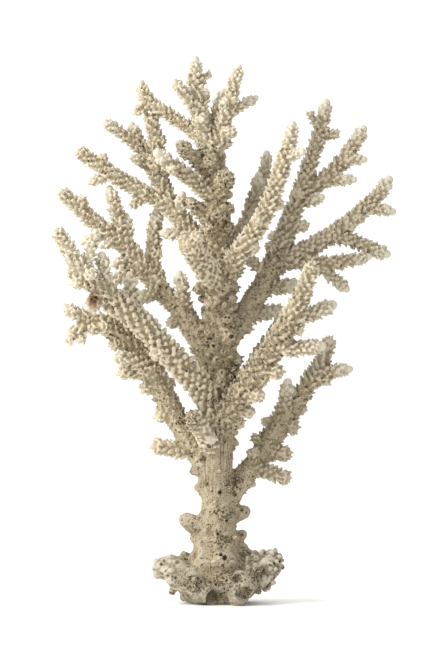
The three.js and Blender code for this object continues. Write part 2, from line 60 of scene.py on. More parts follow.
CROWN_KNOBS = (0.5, 0.8)  # and on the domed end of a blunt spur
SMOOTH_BASE = (5.5, 8.0)  # between these radii a smooth base loses its knobs
KNOB_TILT = 0.1  # how unevenly knobs stand out from a limb
KNOB_LEAN = 0.18  # and lean towards its tip
LOBE_STRAY = 0.12  # how far a knob strays from its place on a lobe of the holdfast
LOWEST_LOBE_KNOB = 4.0  # no knobs on the holdfast's lobes below this height
ROUND_TOP = 2.2  # height of a round knob of unit size
ROUND_LEAN = 0.6  # and how far its top leans towards the limb's tip
ASKEW = [0.3, 1.0, 0.2]  # a direction that no limb runs along
BURIED = 0.5  # a knob whose root lies deeper than this inside another limb is left out
LOBE_BURIED = 0.6  # and so is one deeper than this inside another lobe of the holdfast
CUT_TOLERANCE = 0.1  # places nearer the holdfast's flat cut than this stay where they are
MASS = 1.2  # width of the faces of the cores and holdfast while their forks are filled
CRAG_FADE = (24.0, 46.0)  # the holdfast's crags fade out between these heights
CRAG_HEAVE = 3.0  # height of the crags
CRAG_LENGTH = 9.0  # distance between them
RIDGE_HEAVE = 1.3  # height of the smaller, sharper ridges on the crags
RIDGE_LENGTH = 5.5
TRUNK_HEAVE = 0.7  # unevenness of the trunk and limbs
TRUNK_LENGTH = 6.5
ROUGHNESS = (  # finer unevenness of the whole skin: name, distance between bumps, height
    ("lumps", 4.0, 0.6), ("grit", 1.4, 0.22),
)
TURN = math.pi * (3 - math.sqrt(5))  # golden angle between one knob and the next around a limb

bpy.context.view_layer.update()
GROWTH_LINES = {
    "lower_trunk": [
        [
            (-1, 0, 22, 17), (-1, 0, 33, 13.2), (-0.5, 0, 45, 10.8), (0, 0, 57, 9.8),
            (-1, 0, 68, 10.3), (-1.7, 0, 81, 11.2), (-0.7, 0, 94, 10.6),
        ],
        [(-6, 0, 42, 6.4), (-13, -1, 43.5, 5.8), (-17, -1, 45.5, 4.9)],
        [(6, 2, 46, 4.8), (14.3, 3, 50, 4.4)],
        [(8, 3, 35, 4), (13.5, 4, 37.5, 3.3)],
        [(8, 2, 29, 4.6), (15, 3, 30, 3)],
        [(0, 6, 52, 4.2), (1, 13, 54, 3.4)],
        [(-5, 6, 66, 3.8), (-8, 13, 69, 3)],
        [(-3, 8, 38, 4), (-5, 15, 39, 3)],
        [(-9, 0, 35, 4.4), (-13.3, -1, 35.5, 3)],
        [(6, 2, 87, 3.2), (10.5, 2, 88, 2.6)],
        [(-9, -2, 72, 3.2), (-14, -3, 72.5, 2.4)],
        [(-9, 0, 63, 3), (-11.8, 0, 64, 2)],
    ],
    "middle_trunk": [
        [
            (-0.7, 0, 94, 10.6), (0, 0, 106, 10), (1, 0, 120, 9.5), (1.5, 0, 135, 9.5),
            (1.5, 0, 150, 9), (0.5, 1, 165, 9.2), (-0.5, 1, 180, 8.8), (0, 1, 188, 8),
        ],
        [(6, 0, 182, 4), (11.5, -1, 182.7, 2.9)],
        [(3, -4, 146, 4), (6, -11, 147.5, 3.2)],
        [(-4, 6, 176, 3.6), (-7, 13, 179, 2.8)],
        [(5, 1, 173, 3.2), (10, 1, 173, 2.4)],
        [(6, 1, 133, 3.4), (11.5, 2, 134, 2.6)],
        [(-5, -1, 173, 3.8), (-11, -2, 173, 2.6)],
        [(0, -5, 122, 4), (1, -11, 123, 3)],
        [(-3, -5, 163, 3.4), (-4, -10.5, 165, 2.8)],
        [(3, -4, 172, 3), (4.5, -10, 174, 2.4)],
    ],
    "upper_trunk": [
        [
            (0, 1, 188, 8), (-1, 1, 204, 7), (-1, 1, 216, 7), (-0.5, 0, 228, 7), (-3, 0, 240, 6.5),
            (-4, 0, 249, 6.8),
        ],
        [(0, -2, 226, 5.2), (3, -10, 230, 5.2), (4.5, -15, 233, 4.8)],
        [(-6, -1, 238, 4), (-14, -8, 245.5, 3.9), (-20.5, -13, 251.5, 3)],
        [(-2, 0, 208, 3.7), (-10, 0, 215, 3.4), (-15, -1, 221, 2.8)],
        [(0, 5, 206, 3.2), (3, 12, 210, 2.5)],
        [(1, 0, 205, 3), (7, -1, 207, 2.4)],
        [(2, 0, 215, 2.8), (7.5, -2, 217.5, 2.2)],
        [(0, -3, 212, 3), (1, -9, 214, 2.6)],
        [(-3, -3, 240, 3.4), (-4, -9, 243, 2.8)],
        [(-2, -3, 203, 3), (-5, -8, 206, 2.3)],
    ],
    "crown_left": [
        [
            (-4, 0, 247, 6), (-8, -2, 260, 4.8), (-10, -3, 274, 4.2), (-11.5, -4, 287, 3.4),
            (-12, -5, 298.5, 2.6),
        ],
        [(-10, -3, 268, 3), (-15, -6, 275, 2.9), (-20, -9, 282, 2.7), (-23.5, -11, 286, 2.2)],
        [(-10.5, -3, 283, 1.7), (-7, -2, 288, 1.7), (-4.5, -1, 291, 1.5)],
        [(-9, 0, 266, 2.9), (-8, 9, 275, 2.6), (-6.5, 16, 283, 2)],
        [(-11.5, -4, 290, 1.7), (-15.5, -5, 291, 1.5)],
        [(-11, -3, 284, 1.7), (-15.5, -4, 287, 1.6)],
        [(-9, -4, 262, 3), (-8.5, -9, 266, 2.2)],
    ],
    "crown_right": [
        [
            (-3, 0, 247, 5.5), (1, -2, 258, 5), (4.5, -3, 269, 4.5), (8, -4, 280, 3.8),
            (10.5, -5, 290, 2.9), (11.5, -5, 294, 2.3),
        ],
        [(6, -3, 269, 2.6), (13, 0, 273.5, 2.5), (21, 3, 278, 2.1)],
        [(2, -2, 256, 3), (7.5, -8, 259, 2.9)],
        [(-3, 5, 255, 3.5), (-2, 9, 266, 3.3), (1, 11, 275, 3), (4, 11, 282, 2.3)],
        [(2, 0, 251, 2.6), (6, -1, 253.5, 2.2)],
        [(5, -3, 270, 2.4), (3, -8, 275, 2)],
    ],
    "upper_left_spray": [
        [
            (-4, 2, 249, 4.2), (-13, 5, 259.5, 3.8), (-21, 7, 265.5, 3.6), (-30, 8, 271, 3.5),
            (-37, 9, 275.5, 3.6), (-41, 9, 281, 3.3), (-42.3, 9, 286.5, 2.5),
        ],
        [(-38, 9, 274, 2.8), (-44.5, 8, 271.5, 2.3)],
    ],
    "left_front_spur": [
        [
            (-3, -2, 224, 5), (-11, -6, 230, 4.7), (-19, -11, 236.5, 4.4), (-27, -16, 242, 4.1),
            (-32.5, -20, 246.5, 3),
        ],
        [(-22, -13, 239, 2.6), (-25, -20, 238, 2.2)],
    ],
    "front_spur": [
        [(0, -3, 177, 7.4), (-6, -13, 184, 7), (-11.5, -23, 190.5, 6.6), (-15.5, -31, 196, 5.6)],
        [(-6, -16, 190, 3), (-12, -16, 187, 2.6)],
        [(-14, -28, 195, 3), (-19, -31, 199, 2.6)],
        [(-13, -28, 196, 3), (-11, -34, 201, 2.6)],
    ],
    "upper_left_limb": [
        [(0, 2, 188, 6), (-9, 5, 199, 5.7), (-17, 6, 208, 5.7), (-24, 7, 216, 5.9), (-29, 8, 221, 5.6)],
        [(-15, 6, 206, 3.1), (-22, 5, 203.5, 2.9), (-30, 5, 203.5, 2.4)],
        [(-21, 6, 214, 3), (-20, 3, 220, 2.7), (-19.3, 1, 225, 2.2)],
    ],
    "upper_left_outer_fork": [
        [
            (-26, 8, 219, 5.2), (-37, 7, 224.5, 5), (-47, 6, 229.5, 4.7), (-56, 5, 235, 4.5),
            (-65, 4, 241, 4.3), (-75, 3, 247.5, 3.3),
        ],
        [(-61, 4, 240, 2.1), (-63, 2, 246.5, 1.8)],
        [(-58, 5, 236, 2.8), (-65, 6, 233.5, 2.5), (-70.5, 7, 231.7, 2)],
        [(-41, 7, 224, 3.2), (-46.5, 8, 219.5, 2.3)],
        [(-46, 6, 231, 2.8), (-48, 15, 232, 2.7), (-49, 22, 233.5, 2.1)],
    ],
    "upper_left_rear_fork": [
        [
            (-26, 9, 219, 5.4), (-30.5, 14, 230, 5.2), (-36, 18, 241, 4.9), (-41.5, 21, 250, 4.3),
            (-45.5, 23, 258, 3.5), (-48, 24, 264, 2.6),
        ],
        [(-42, 21, 250, 3.3), (-49, 20, 256.5, 3.2), (-56, 19, 261.5, 2.9), (-62.5, 18, 265.5, 2.4)],
        [(-37, 18, 241.5, 2.7), (-43, 15, 244, 2.4), (-47.5, 13, 246, 2)],
    ],
    "upper_left_upright_fork": [
        [(-31, 16, 234, 4.4), (-33, 13, 246, 4.4), (-34.5, 11, 257, 4.1), (-37, 10, 267, 3.5)],
        [(-35, 12, 252, 2.7), (-31, 9, 255.5, 2.3)],
    ],
    "left_limb": [
        [
            (0, 2, 128, 8.5), (-6, 3, 139, 8.5), (-12.5, 4, 149.5, 8.2), (-18.5, 5, 159, 7.4),
            (-26, 6, 167, 6.8), (-32.5, 6, 174.5, 6.3),
        ],
        [(-17, 4, 160, 4), (-19, 1, 170, 3.6), (-20.5, -1, 178, 3.2), (-21, -2, 181, 2.4)],
        [(-18, 5, 156, 3.6), (-26, 3, 154, 2.6)],
        [(-32, 5, 171, 3.9), (-39, 0, 169, 3.7), (-45.5, -3, 166.5, 3)],
    ],
    "left_outer_fork": [
        [
            (-31, 6, 173, 6), (-41, 6, 184.5, 5.7), (-48, 6, 194, 5.6), (-56, 6, 201, 5.3),
            (-65, 5, 207.5, 4.9), (-75, 4, 216, 4.4), (-84.5, 3, 225, 3.5),
        ],
        [(-74, 4, 215, 2.2), (-74.5, 2, 223, 1.9)],
        [(-52, 6, 200, 4), (-54.5, 7, 210, 3.8), (-57, 8, 220, 3.5), (-59.5, 8, 228, 2.5)],
        [(-50, 6, 198, 3.2), (-50, 8, 207, 2.9), (-50.5, 10, 213, 2.3)],
        [(-60, 5, 203, 2.6), (-68, 3, 201, 2.5), (-74.5, 1, 198.3, 2)],
        [(-54, 4, 199, 2.2), (-61, 0, 197, 2), (-64, -2, 196, 1.7)],
        [(-46, 5, 190, 3.2), (-52, 2, 187.5, 3), (-57, -1, 186.5, 2.4)],
        [(-40, 4, 184, 3.2), (-47, 0, 183, 3.2), (-54, -3, 179, 3), (-59, -5, 176.7, 2.4)],
    ],
    "left_upright_fork": [
        [
            (-32, 7, 175, 4.8), (-36, 10, 188, 4.2), (-35.5, 12, 198, 4), (-34.5, 13, 208, 3.6),
            (-33.7, 13, 215.5, 2.8),
        ],
        [(-37, 10, 191, 2.6), (-32, 8, 192.5, 2)],
    ],
    "front_left_limb": [
        [
            (0, -3, 107, 8.2), (-7.5, -8, 117, 7.6), (-15, -14, 126, 7.5), (-23, -20, 134.5, 7),
            (-31, -25, 143.5, 6.8), (-39, -29, 152, 6.8), (-47.5, -33, 159.5, 7), (-56, -36, 166, 7),
        ],
        [(-43, -31, 157, 3.6), (-45.5, -27, 166, 3.3), (-47, -24, 174, 3.1), (-47.7, -22, 180, 2.4)],
        [(-30, -24, 140, 3.4), (-33, -31, 137, 3)],
    ],
    "front_left_outer_fork": [
        [
            (-55, -36, 165.5, 7), (-63, -38, 172.5, 6.7), (-69.5, -39, 179, 6), (-75.5, -39, 186, 5.2),
            (-80.5, -38, 194, 4.6), (-86, -37, 202.5, 3.3),
        ],
        [(-71, -38, 182, 3.2), (-69.3, -35, 190, 3.1), (-67.3, -32, 198, 2.8), (-66, -30, 203, 2.3)],
        [(-59.5, -36, 174, 4), (-61.5, -33, 183, 3.6), (-62.5, -31, 190.5, 2.7)],
        [(-70, -40, 176.5, 3.8), (-76.5, -43, 176, 3)],
        [(-62, -38, 168, 4.6), (-67, -45, 164, 4.1)],
        [(-75, -39, 181, 2.5), (-80, -41, 181, 2)],
        [(-67, -39, 177, 3.4), (-68, -46, 180, 2.8)],
    ],
    "lower_left_limb": [
        [
            (-4, -1, 73, 9.2), (-12.7, -3, 86.5, 8.2), (-20, -5, 97.5, 7.8), (-26, -7, 107.5, 7.6),
            (-31, -8, 117, 7.2), (-35, -9, 125, 6.6),
        ],
        [(-14, -3, 83, 5), (-22, -5, 85, 4.6), (-30, -6, 86.3, 4.4), (-33, -7, 86.5, 3.7)],
        [(-25, -7, 105, 4.2), (-32, -9, 103.5, 3.2)],
        [(-32, -9, 117, 3.6), (-40, -11, 119, 2.8)],
    ],
    "lower_left_low_fork": [
        [(-33, -9, 123, 5.6), (-41, -12, 127.5, 4.6), (-48, -14, 127.7, 4), (-51.5, -15, 127.2, 3.3)],
        [(-35, -12, 127.5, 4.4), (-44, -17, 133, 3.8), (-51, -20, 135, 3.2), (-55.5, -22, 135, 2.5)],
    ],
    "lower_left_outer_fork": [
        [
            (-33.5, -8, 125, 6.6), (-41, -9, 136.5, 6.6), (-49, -11, 145, 6.6), (-57, -13, 151.5, 6.5),
            (-65, -15, 155, 5.8), (-72, -16, 156.7, 4.6), (-78, -17, 159.5, 3.5),
            (-83, -18, 162.7, 2.6),
        ],
        [(-69, -15, 153, 3.4), (-77, -18, 149.5, 3.3), (-81.5, -19, 147, 2.7)],
        [(-75, -18, 150, 2.6), (-74, -20, 144.7, 2.2)],
        [(-50, -12, 143, 3.8), (-56.5, -15, 142.5, 3.2)],
        [(-79, -19, 148, 2.4), (-80.5, -20, 144, 1.9)],
        [(-60, -13, 151, 3.6), (-63, -20, 152, 3)],
        [(-66, -15, 153, 3), (-68, -21, 150.5, 2.4)],
    ],
    "inner_right_limb": [
        [
            (2, -3, 175, 7), (8.5, -7, 187, 6.2), (14.5, -10, 196, 6), (20.5, -13, 205, 5.7),
            (26, -15, 214, 5.6), (30, -17, 224, 5.3), (34, -18, 236, 4.8), (37.7, -19, 248, 4.1),
            (40.3, -20, 257, 3.3), (41, -20, 262, 2.5),
        ],
        [(36, -18, 244, 2.6), (42, -22, 246, 2.5), (46, -25, 247, 2.3)],
        [(29, -16, 218, 3.2), (34, -14, 219, 2.5)],
        [(15, -10, 196, 3.6), (21, -11, 194.7, 2.5)],
        [(22, -14, 208, 3), (22, -20, 211, 2.4)],
    ],
    "rear_right_spires": [
        [
            (2, 4, 188, 5), (10, 12, 199, 4.2), (15, 17, 209, 4), (19, 20, 219, 3.9),
            (22, 22, 229, 3.5), (23, 23, 236, 2.7),
        ],
        [
            (16, 19, 212, 3.3), (22.5, 26, 223, 3.4), (26, 30, 235, 3.3), (27.3, 32, 243, 2.9),
            (27.5, 33, 249, 2.2),
        ],
    ],
    "right_limb": [
        [
            (3, 3, 139, 8), (9.7, 9, 150.5, 7.9), (16, 14, 161, 7.8), (22, 18, 170, 7.7),
            (27, 21, 179, 7.3), (30.7, 23, 187, 6.8),
        ],
        [(17, 15, 157, 4.8), (25, 16, 159.5, 4), (32, 17, 160.8, 3.4), (36, 17, 161, 2.8)],
        [(26, 20, 173, 4.8), (34, 21, 174.3, 4.4), (41, 22, 174.7, 3.9), (45.5, 22, 175, 3.2)],
        [(24, 18, 183, 3.4), (19, 13, 188.5, 2.9)],
        [(11, 10, 150, 3.6), (17, 11, 151.5, 2.6)],
    ],
    "right_upright_fork": [
        [
            (29.5, 23, 184, 6.4), (35.5, 24, 197, 6.2), (39.3, 25, 208, 6), (43.3, 26, 219, 5.6),
            (47.3, 27, 230, 5.2), (51, 28, 241, 4.8), (55, 29, 253, 4.4), (58.5, 29, 265, 3.8),
            (60.5, 29, 277, 3),
        ],
        [(40, 25, 207, 3.4), (45, 22, 208, 3.1), (48.5, 20, 208.5, 2.4)],
        [(57, 29, 263, 2.4), (53, 27, 269, 2), (51.7, 26, 271, 1.7)],
        [(56.5, 29, 256, 2.6), (62, 28, 259, 2.4), (66.5, 27, 259.7, 2)],
        [(34, 23, 194, 3.4), (29, 20, 196.5, 2.5)],
        [(44, 26, 222, 3), (45, 20, 226, 2.4)],
    ],
    "right_middle_fork": [
        [
            (45, 27, 223, 4.9), (54.5, 28, 230.5, 4.8), (63, 29, 237.5, 4.5), (70, 30, 245, 4.1),
            (76.5, 31, 254, 3.7), (81.5, 31, 262.5, 2.8),
        ],
        [(67, 30, 242, 2.9), (75, 28, 245, 2.6), (82, 26, 245.3, 2.1)],
        [(58, 28, 232, 3.4), (66, 26, 234, 2.9), (76, 24, 234, 2.2)],
        [(47, 27, 222, 3.6), (54, 24, 223, 3), (58, 22, 224, 2.3)],
    ],
    "right_outer_fork": [
        [
            (30, 23, 185, 6.4), (40.5, 23, 190, 6.2), (50, 24, 195, 5.8), (59, 25, 200.5, 5.3),
            (68, 26, 206.5, 5), (77, 27, 213.5, 4.6), (85, 28, 221, 4.2), (91.5, 28, 228, 3.7),
            (95.7, 28, 234, 2.9),
        ],
        [(81, 27, 218, 3.2), (90, 24, 218, 3), (97.5, 22, 216, 2.4)],
        [
            (63, 25, 202, 3.8), (74, 22, 200.5, 3.9), (83, 20, 196.7, 3.7), (90, 19, 193.7, 3.5),
            (94, 18, 192.3, 2.8),
        ],
        [(71, 26, 211, 2.8), (80, 22, 212, 2.2)],
        [(69, 26, 209, 2.4), (75.5, 22, 208, 2)],
    ],
    "right_low_fork": [
        [
            (40, 23, 188.5, 4.6), (51, 22, 187.5, 4.3), (61, 20, 187.3, 4.1), (71, 18, 188.3, 3.6),
            (79, 17, 190, 2.9), (84, 16, 191, 2.2),
        ],
        [(56, 20, 186, 3.3), (63, 19, 180, 3.2), (68, 18, 176.3, 3), (71.7, 17, 173, 2.3)],
    ],
    "front_right_limb": [
        [
            (2, -4, 96, 8.6), (8, -10, 108, 8.2), (15, -16, 118.5, 7.6), (22, -21, 128.5, 7.4),
            (29, -26, 138.5, 7.1), (35, -30, 148.5, 6.7), (40.2, -33, 157.7, 6.2),
            (44.5, -36, 167, 5.5), (48, -38, 176, 4.6), (50.7, -39, 184, 3.3),
        ],
        [(42, -34, 156, 4.3), (50, -32, 158.8, 4.2), (58, -31, 162, 4), (62, -30, 163.8, 3.2)],
        [(34, -30, 140.5, 4.8), (42, -30, 140, 4.3), (50, -30, 141, 3.9), (56.5, -30, 141.7, 2.9)],
        [(24, -23, 129, 4.3), (30, -26, 128, 4), (33, -28, 127.5, 3.3)],
        [(14, -17, 116, 4.2), (20.5, -21, 115, 3.6), (23, -23, 114.7, 2.8)],
        [(8, -9, 106, 3.8), (15, -12, 106, 3.2), (18, -14, 105.2, 2.6)],
        [(21, -20, 124.5, 3.2), (25.5, -22, 122.7, 2.5)],
        [(38, -31, 152, 2.4), (45, -33, 149.5, 1.9)],
        [(5, -5, 99, 3.4), (13, -8, 99.5, 2.5)],
        [(43, -35, 166, 2.6), (48.5, -35, 168, 2)],
    ],
    "rear_right_low_limb": [
        [
            (4, 5, 105, 6), (13.5, 12, 121, 5), (20, 17, 130.5, 4.7), (27, 21, 141, 4.5),
            (33, 24, 150, 4.2), (37, 26, 157, 3.2),
        ],
        [(20, 18, 134, 3), (24, 26, 139, 2.7), (27, 32, 144, 2.1)],
    ],
    "lower_right_limb": [
        [
            (3, 0, 53, 8.6), (10, 3, 64, 8.2), (17.5, 6, 73, 7.8), (24.5, 9, 81.5, 7.6),
            (30.5, 11, 90.5, 7.6), (36.7, 13, 99.5, 7.4), (43, 15, 108.5, 6.9), (49.3, 17, 118, 6.3),
            (55, 18, 127.5, 5.5), (60, 19, 137, 4.5), (62, 20, 143.5, 3.3),
        ],
        [(54, 18, 124.5, 4.2), (61, 17, 126.7, 3.9), (68, 16, 128, 3.4), (73, 15, 128.5, 2.6)],
        [(37, 13, 104, 4.4), (38.2, 11, 113, 4), (38.8, 10, 121, 3)],
        [(26, 9, 82, 5), (33, 8, 82.3, 4.8), (37.5, 7, 82, 4)],
        [(17, 6, 73, 4.8), (25, 3, 73, 4.7), (32, 1, 70.8, 4.4), (37.5, 0, 69, 3.5)],
        [(36, 13, 98, 4.4), (42, 10, 96.5, 3.7)],
        [(8, 4, 64, 3.2), (15, 6, 65.5, 2.8), (19.7, 7, 65, 2.1)],
        [(53, 18, 123, 3.2), (61, 16, 122, 2.2)],
        [(42, 15, 108, 2.8), (47.7, 13, 105.5, 1.9)],
        [(19, 6, 80, 3), (20, 0, 83, 2.4)],
        [(24, 9, 88, 3), (20.5, 9, 91, 2.2)],
    ],
    "low_front_spur": [
        [(-2, -5, 83, 5.6), (-6, -14, 91, 5.1), (-10, -21, 98, 4.9), (-13, -27, 103, 4.2)],
        [(-7, -15, 93, 2.8), (-3, -20, 91, 2.4)],
        [(-11, -23, 99, 2.8), (-15, -27, 98, 2.2)],
    ],
    "rear_low_limb": [
        [
            (0, 4, 83, 7), (2, 14, 95, 6.4), (3, 23, 107, 6), (4, 31, 119, 5.6), (5, 38, 131, 5),
            (5.5, 44, 142, 4.2), (6, 48, 150, 3.2),
        ],
        [(3, 24, 108, 3.6), (-4, 33, 114, 3.1), (-7.5, 39, 118, 2.4)],
        [(4, 33, 122, 3.6), (9, 41, 124, 3.1), (13, 47, 126, 2.4)],
        [(2.5, 19, 101, 3.4), (9, 27, 101, 2.8), (12, 31, 102, 2.2)],
    ],
    "rear_left_limb": [
        [
            (0, 4, 121, 7), (-6, 13, 133, 6.3), (-11, 21, 143, 5.8), (-15, 29, 153, 5.2),
            (-19, 36, 162, 4.5), (-21.5, 41, 168.5, 3.4),
        ],
        [(-13, 25, 148, 3.3), (-18, 34, 151, 2.9), (-21.5, 41, 154.5, 2.2)],
        [(-9, 18, 139, 3.3), (-6, 28, 142, 2.9), (-4, 35, 146, 2.3)],
    ],
    "rear_middle_limb": [
        [
            (2, 4, 154, 6.6), (5, 16, 166, 5.8), (6, 26, 178, 5.4), (6, 35, 190, 5), (5, 43, 202, 4.5),
            (3, 49, 213, 3.8), (2, 53, 221, 2.9),
        ],
        [(6, 30, 184, 3.4), (0, 40, 188, 2.9), (-2.5, 46, 191, 2.2)],
        [(5.5, 38, 195, 3.2), (9, 46, 198, 2.7), (10.7, 51, 199.5, 2.1)],
        [(5.5, 21, 172, 3.2), (0, 30, 172, 2.7), (-3, 35, 173, 2.1)],
    ],
    "rear_crown": [
        [
            (-2, 2, 227, 5.2), (-3, 12, 238, 4.7), (-4, 20, 248, 4.2), (-5, 27, 258, 3.6),
            (-6, 31.5, 265, 2.8),
        ],
        [(-3.5, 16, 243, 3.1), (-8.5, 25, 246, 2.7), (-10.5, 30, 248.5, 2.1)],
        [(-3, 14, 240, 3), (1, 24, 243, 2.6), (2, 30, 246, 2)],
    ],
    "right_rear_fork": [
        [
            (28, 22, 183, 5.2), (33, 32, 192, 4.7), (36, 41, 200, 4.2), (38, 49, 208, 3.7),
            (40, 54, 214.5, 2.8),
        ],
        [(34, 35, 195, 3.1), (41, 43, 195, 2.8), (45, 48, 195.5, 2.1)],
        [(36, 40, 199, 3), (32, 48, 202, 2.6), (31, 53, 204.5, 2)],
    ],
    "left_rear_fork": [
        [
            (-24, 8, 166, 5.2), (-31, 18, 172, 4.7), (-37, 27, 178, 4.2), (-42, 35, 185, 3.7),
            (-45.5, 41, 191, 2.8),
        ],
        [(-35, 24, 176, 3.1), (-35, 33, 173, 2.7), (-36, 39, 171.5, 2.1)],
        [(-39, 30, 181, 2.9), (-46, 33, 182, 2.5), (-50, 35, 184, 2)],
    ],
    "lower_left_rear_fork": [
        [
            (-22, -4, 103, 5.4), (-27, 6, 113, 4.8), (-31, 15, 122, 4.3), (-35, 24, 131, 3.9),
            (-40, 32, 140, 3.3), (-43, 37, 147, 2.5),
        ],
        [(-30, 13, 120, 3), (-27, 22, 120, 2.6), (-26, 28, 121.5, 2)],
        [(-34, 22, 129, 3), (-41, 26, 129, 2.6), (-45, 29, 130.5, 2)],
    ],
    "lower_right_rear_fork": [
        [
            (25, 9, 86, 5.4), (31, 20, 96, 4.7), (35, 29, 103, 4.3), (38, 37, 110, 3.7),
            (40, 42, 115.5, 2.8),
        ],
        [(32, 23, 98, 3.1), (28, 32, 98, 2.7), (27, 37, 99.5, 2)],
        [(35, 30, 104, 3), (42, 36, 103, 2.6), (45, 39, 104, 2)],
    ],
}

TRUNK = ("lower_trunk", "middle_trunk", "upper_trunk")

# Limbs whose thick bases are smoother, with few low knobs.
SMOOTH_BASED = (
    "left_limb", "right_limb", "lower_left_limb", "lower_right_limb", "rear_low_limb", "rear_left_limb",
    "rear_middle_limb",
)

# Pieces with round, bold knobs instead of scales.
BOLD = ("front_left_limb", "low_front_spur", "front_spur")

# How thickly knobs cover each piece, 1 for close-set, where it isn't 1.
COVER = {
    "lower_trunk": 0.25,
    "middle_trunk": 0.85,
    "upper_trunk": 0.95,
    "low_front_spur": 0.9,
}

# How wide the knobs of each piece grow, where it isn't 1.
KNOB_SIZE = {
    "front_left_limb": 1.2,
    "lower_left_limb": 1.1,
    "middle_trunk": 1.6,
    "upper_trunk": 1.35,
}

# How far each piece is darkened, partly real tanning and partly painted shade: 0 for the pale front and 1 for
# the shaded rear.
TAN_AND_SHADE = {
    "right_limb": 0.7,
    "right_upright_fork": 0.6,
    "right_middle_fork": 0.65,
    "right_outer_fork": 0.6,
    "right_low_fork": 0.45,
    "right_rear_fork": 0.6,
    "rear_right_spires": 0.8,
    "rear_right_low_limb": 0.9,
    "lower_right_limb": 0.8,
    "lower_right_rear_fork": 0.5,
    "upper_left_rear_fork": 0.6,
    "upper_left_upright_fork": 0.35,
    "left_upright_fork": 0.35,
    "left_limb": 0.3,
    "left_rear_fork": 0.5,
    "middle_trunk": 0.6,
    "lower_trunk": 1.05,
    "rear_low_limb": 0.5,
    "rear_left_limb": 0.5,
    "rear_middle_limb": 0.4,
    "holdfast": 0.45,
    "upper_trunk": 0.3,
    "front_right_limb": 0.35,
    "front_left_outer_fork": 0.0,
    "lower_left_outer_fork": 0.05,
}
USUAL_TAN_AND_SHADE = 0.15

# Pieces bleached nearly white, and how far.
BLEACHED = {
    "front_left_outer_fork": 0.55,
    "crown_left": 0.25,
    "crown_right": 0.25,
    "low_front_spur": 0.3,
}

# The holdfast's lobes: centre, then half-widths along x, y and z.
HOLDFAST_LOBES = [
    [(-1, 1, 8), (20, 16, 11.5)],
    [(-2, 0, 17), (18, 14, 13)],
    [(-24, -3, 19.5), (12, 11, 7.5)],
    [(-31, -4, 18.5), (5.5, 8, 6.2)],
    [(-16, -9, 13), (11, 9, 8)],
    [(-10, -14, 9), (8, 6, 6.5)],
    [(23.5, 1, 21), (11, 9, 7.5)],
    [(30.5, 0, 22), (5, 7, 7)],
    [(23, -3, 12.5), (8, 7, 5.5)],
    [(17, -6, 17), (7, 7, 5)],
    [(13, -14, 9.5), (8.3, 8, 9.8)],
    [(-8, 13, 11), (14, 11, 10.5)],
    [(12, 11, 12), (10, 9, 10.5)],
]

# Knobs on the holdfast's lobes: how many all round, and the smallest and largest.
LOBE_KNOBS = {
    0: (14, 1.3, 2.2), 1: (14, 1.3, 2.2), 2: (5, 1.3, 2.0), 4: (6, 1.3, 2.0), 6: (64, 0.8, 1.5),
    7: (32, 0.8, 1.4), 8: (34, 0.8, 1.4), 9: (14, 0.8, 1.4), 11: (12, 1.2, 2.2), 12: (12, 1.2, 2.2),
}

# Pieces whose leading line runs on into forks or more trunk, so that it has no growing tip.
RUNS_ON = {
    "lower_trunk", "middle_trunk", "upper_trunk", "upper_left_limb", "left_limb",
    "front_left_limb", "lower_left_limb", "right_limb",
}


# ---------------------------------------------------------------- growth lines
def unit(vectors):
    return vectors / np.maximum(np.linalg.norm(vectors, axis=-1, keepdims=True), 1e-9)


def ramp(values, start, end):
    """0 below start, 1 above end and smooth between them."""
    t = np.clip((values - start) / (end - start), 0.0, 1.0)
    return t * t * (3 - 2 * t)


def follow(points):
    """Samples a Catmull-Rom curve through a growth line, with the radius straight between its points."""
    points = np.array(points, float)
    ends = np.vstack([2 * points[:1] - points[1:2], points, 2 * points[-1:] - points[-2:-1]])
    samples = []
    for a, b, c, d in zip(ends, ends[1:], ends[2:], ends[3:]):
        steps = max(2, round(np.linalg.norm(c[:3] - b[:3]) / LINE_STEP))
        for t in np.arange(steps) / steps:
            curved = b + 0.5 * t * (c - a + t * (2 * a - 5 * b + 4 * c - d + t * (3 * (b - c) + d - a)))
            curved[3] = b[3] + t * (c[3] - b[3])
            samples.append(curved)
    samples.append(points[-1])
    return np.array(samples)


class Line:
    """One sampled growth line: where it runs, how thick it is and how far each sample is from the tip."""

    def __init__(self, piece, points, order):
        samples = follow(points)
        self.piece = piece
        self.on_trunk = piece in TRUNK and order == 0
        self.places = samples[:, :3]
        self.radii = samples[:, 3]
        self.tangents = unit(np.gradient(self.places, axis=0))
        steps = np.linalg.norm(np.diff(self.places, axis=0), axis=1)
        self.lengths = np.concatenate([[0], np.cumsum(steps)])
        runs_on = order == 0 and piece in RUNS_ON
        self.to_tip = self.lengths[-1] - self.lengths + (1000.0 if runs_on else 0.0)
        self.cover = COVER.get(piece, 1.0)
        knobbed_over = self.lengths[-1] < SHORT_TWIG or self.radii[-1] >= BLUNT_RADIUS
        self.bare, self.grown = (0.0, 5.0) if knobbed_over else (KNOB_BARE_TIP, KNOB_RAMP)
        inset = np.minimum(CORE_INSET, 0.36 * self.radii) * min(1.0, self.cover)
        young = 0.45 if knobbed_over else 0.25
        self.core = self.radii - inset * (young + (1 - young) * ramp(self.to_tip, self.bare, self.grown))


def grown_lines():
    lines = []
    for piece, group in GROWTH_LINES.items():
        for order, points in enumerate(group):
            lines.append(Line(piece, points, order))
    return lines


# ---------------------------------------------------------------- cores, lobes and knobs
def select_only(obj):
    bpy.ops.object.select_all(action="DESELECT")
    obj.select_set(True)
    bpy.context.view_layer.objects.active = obj


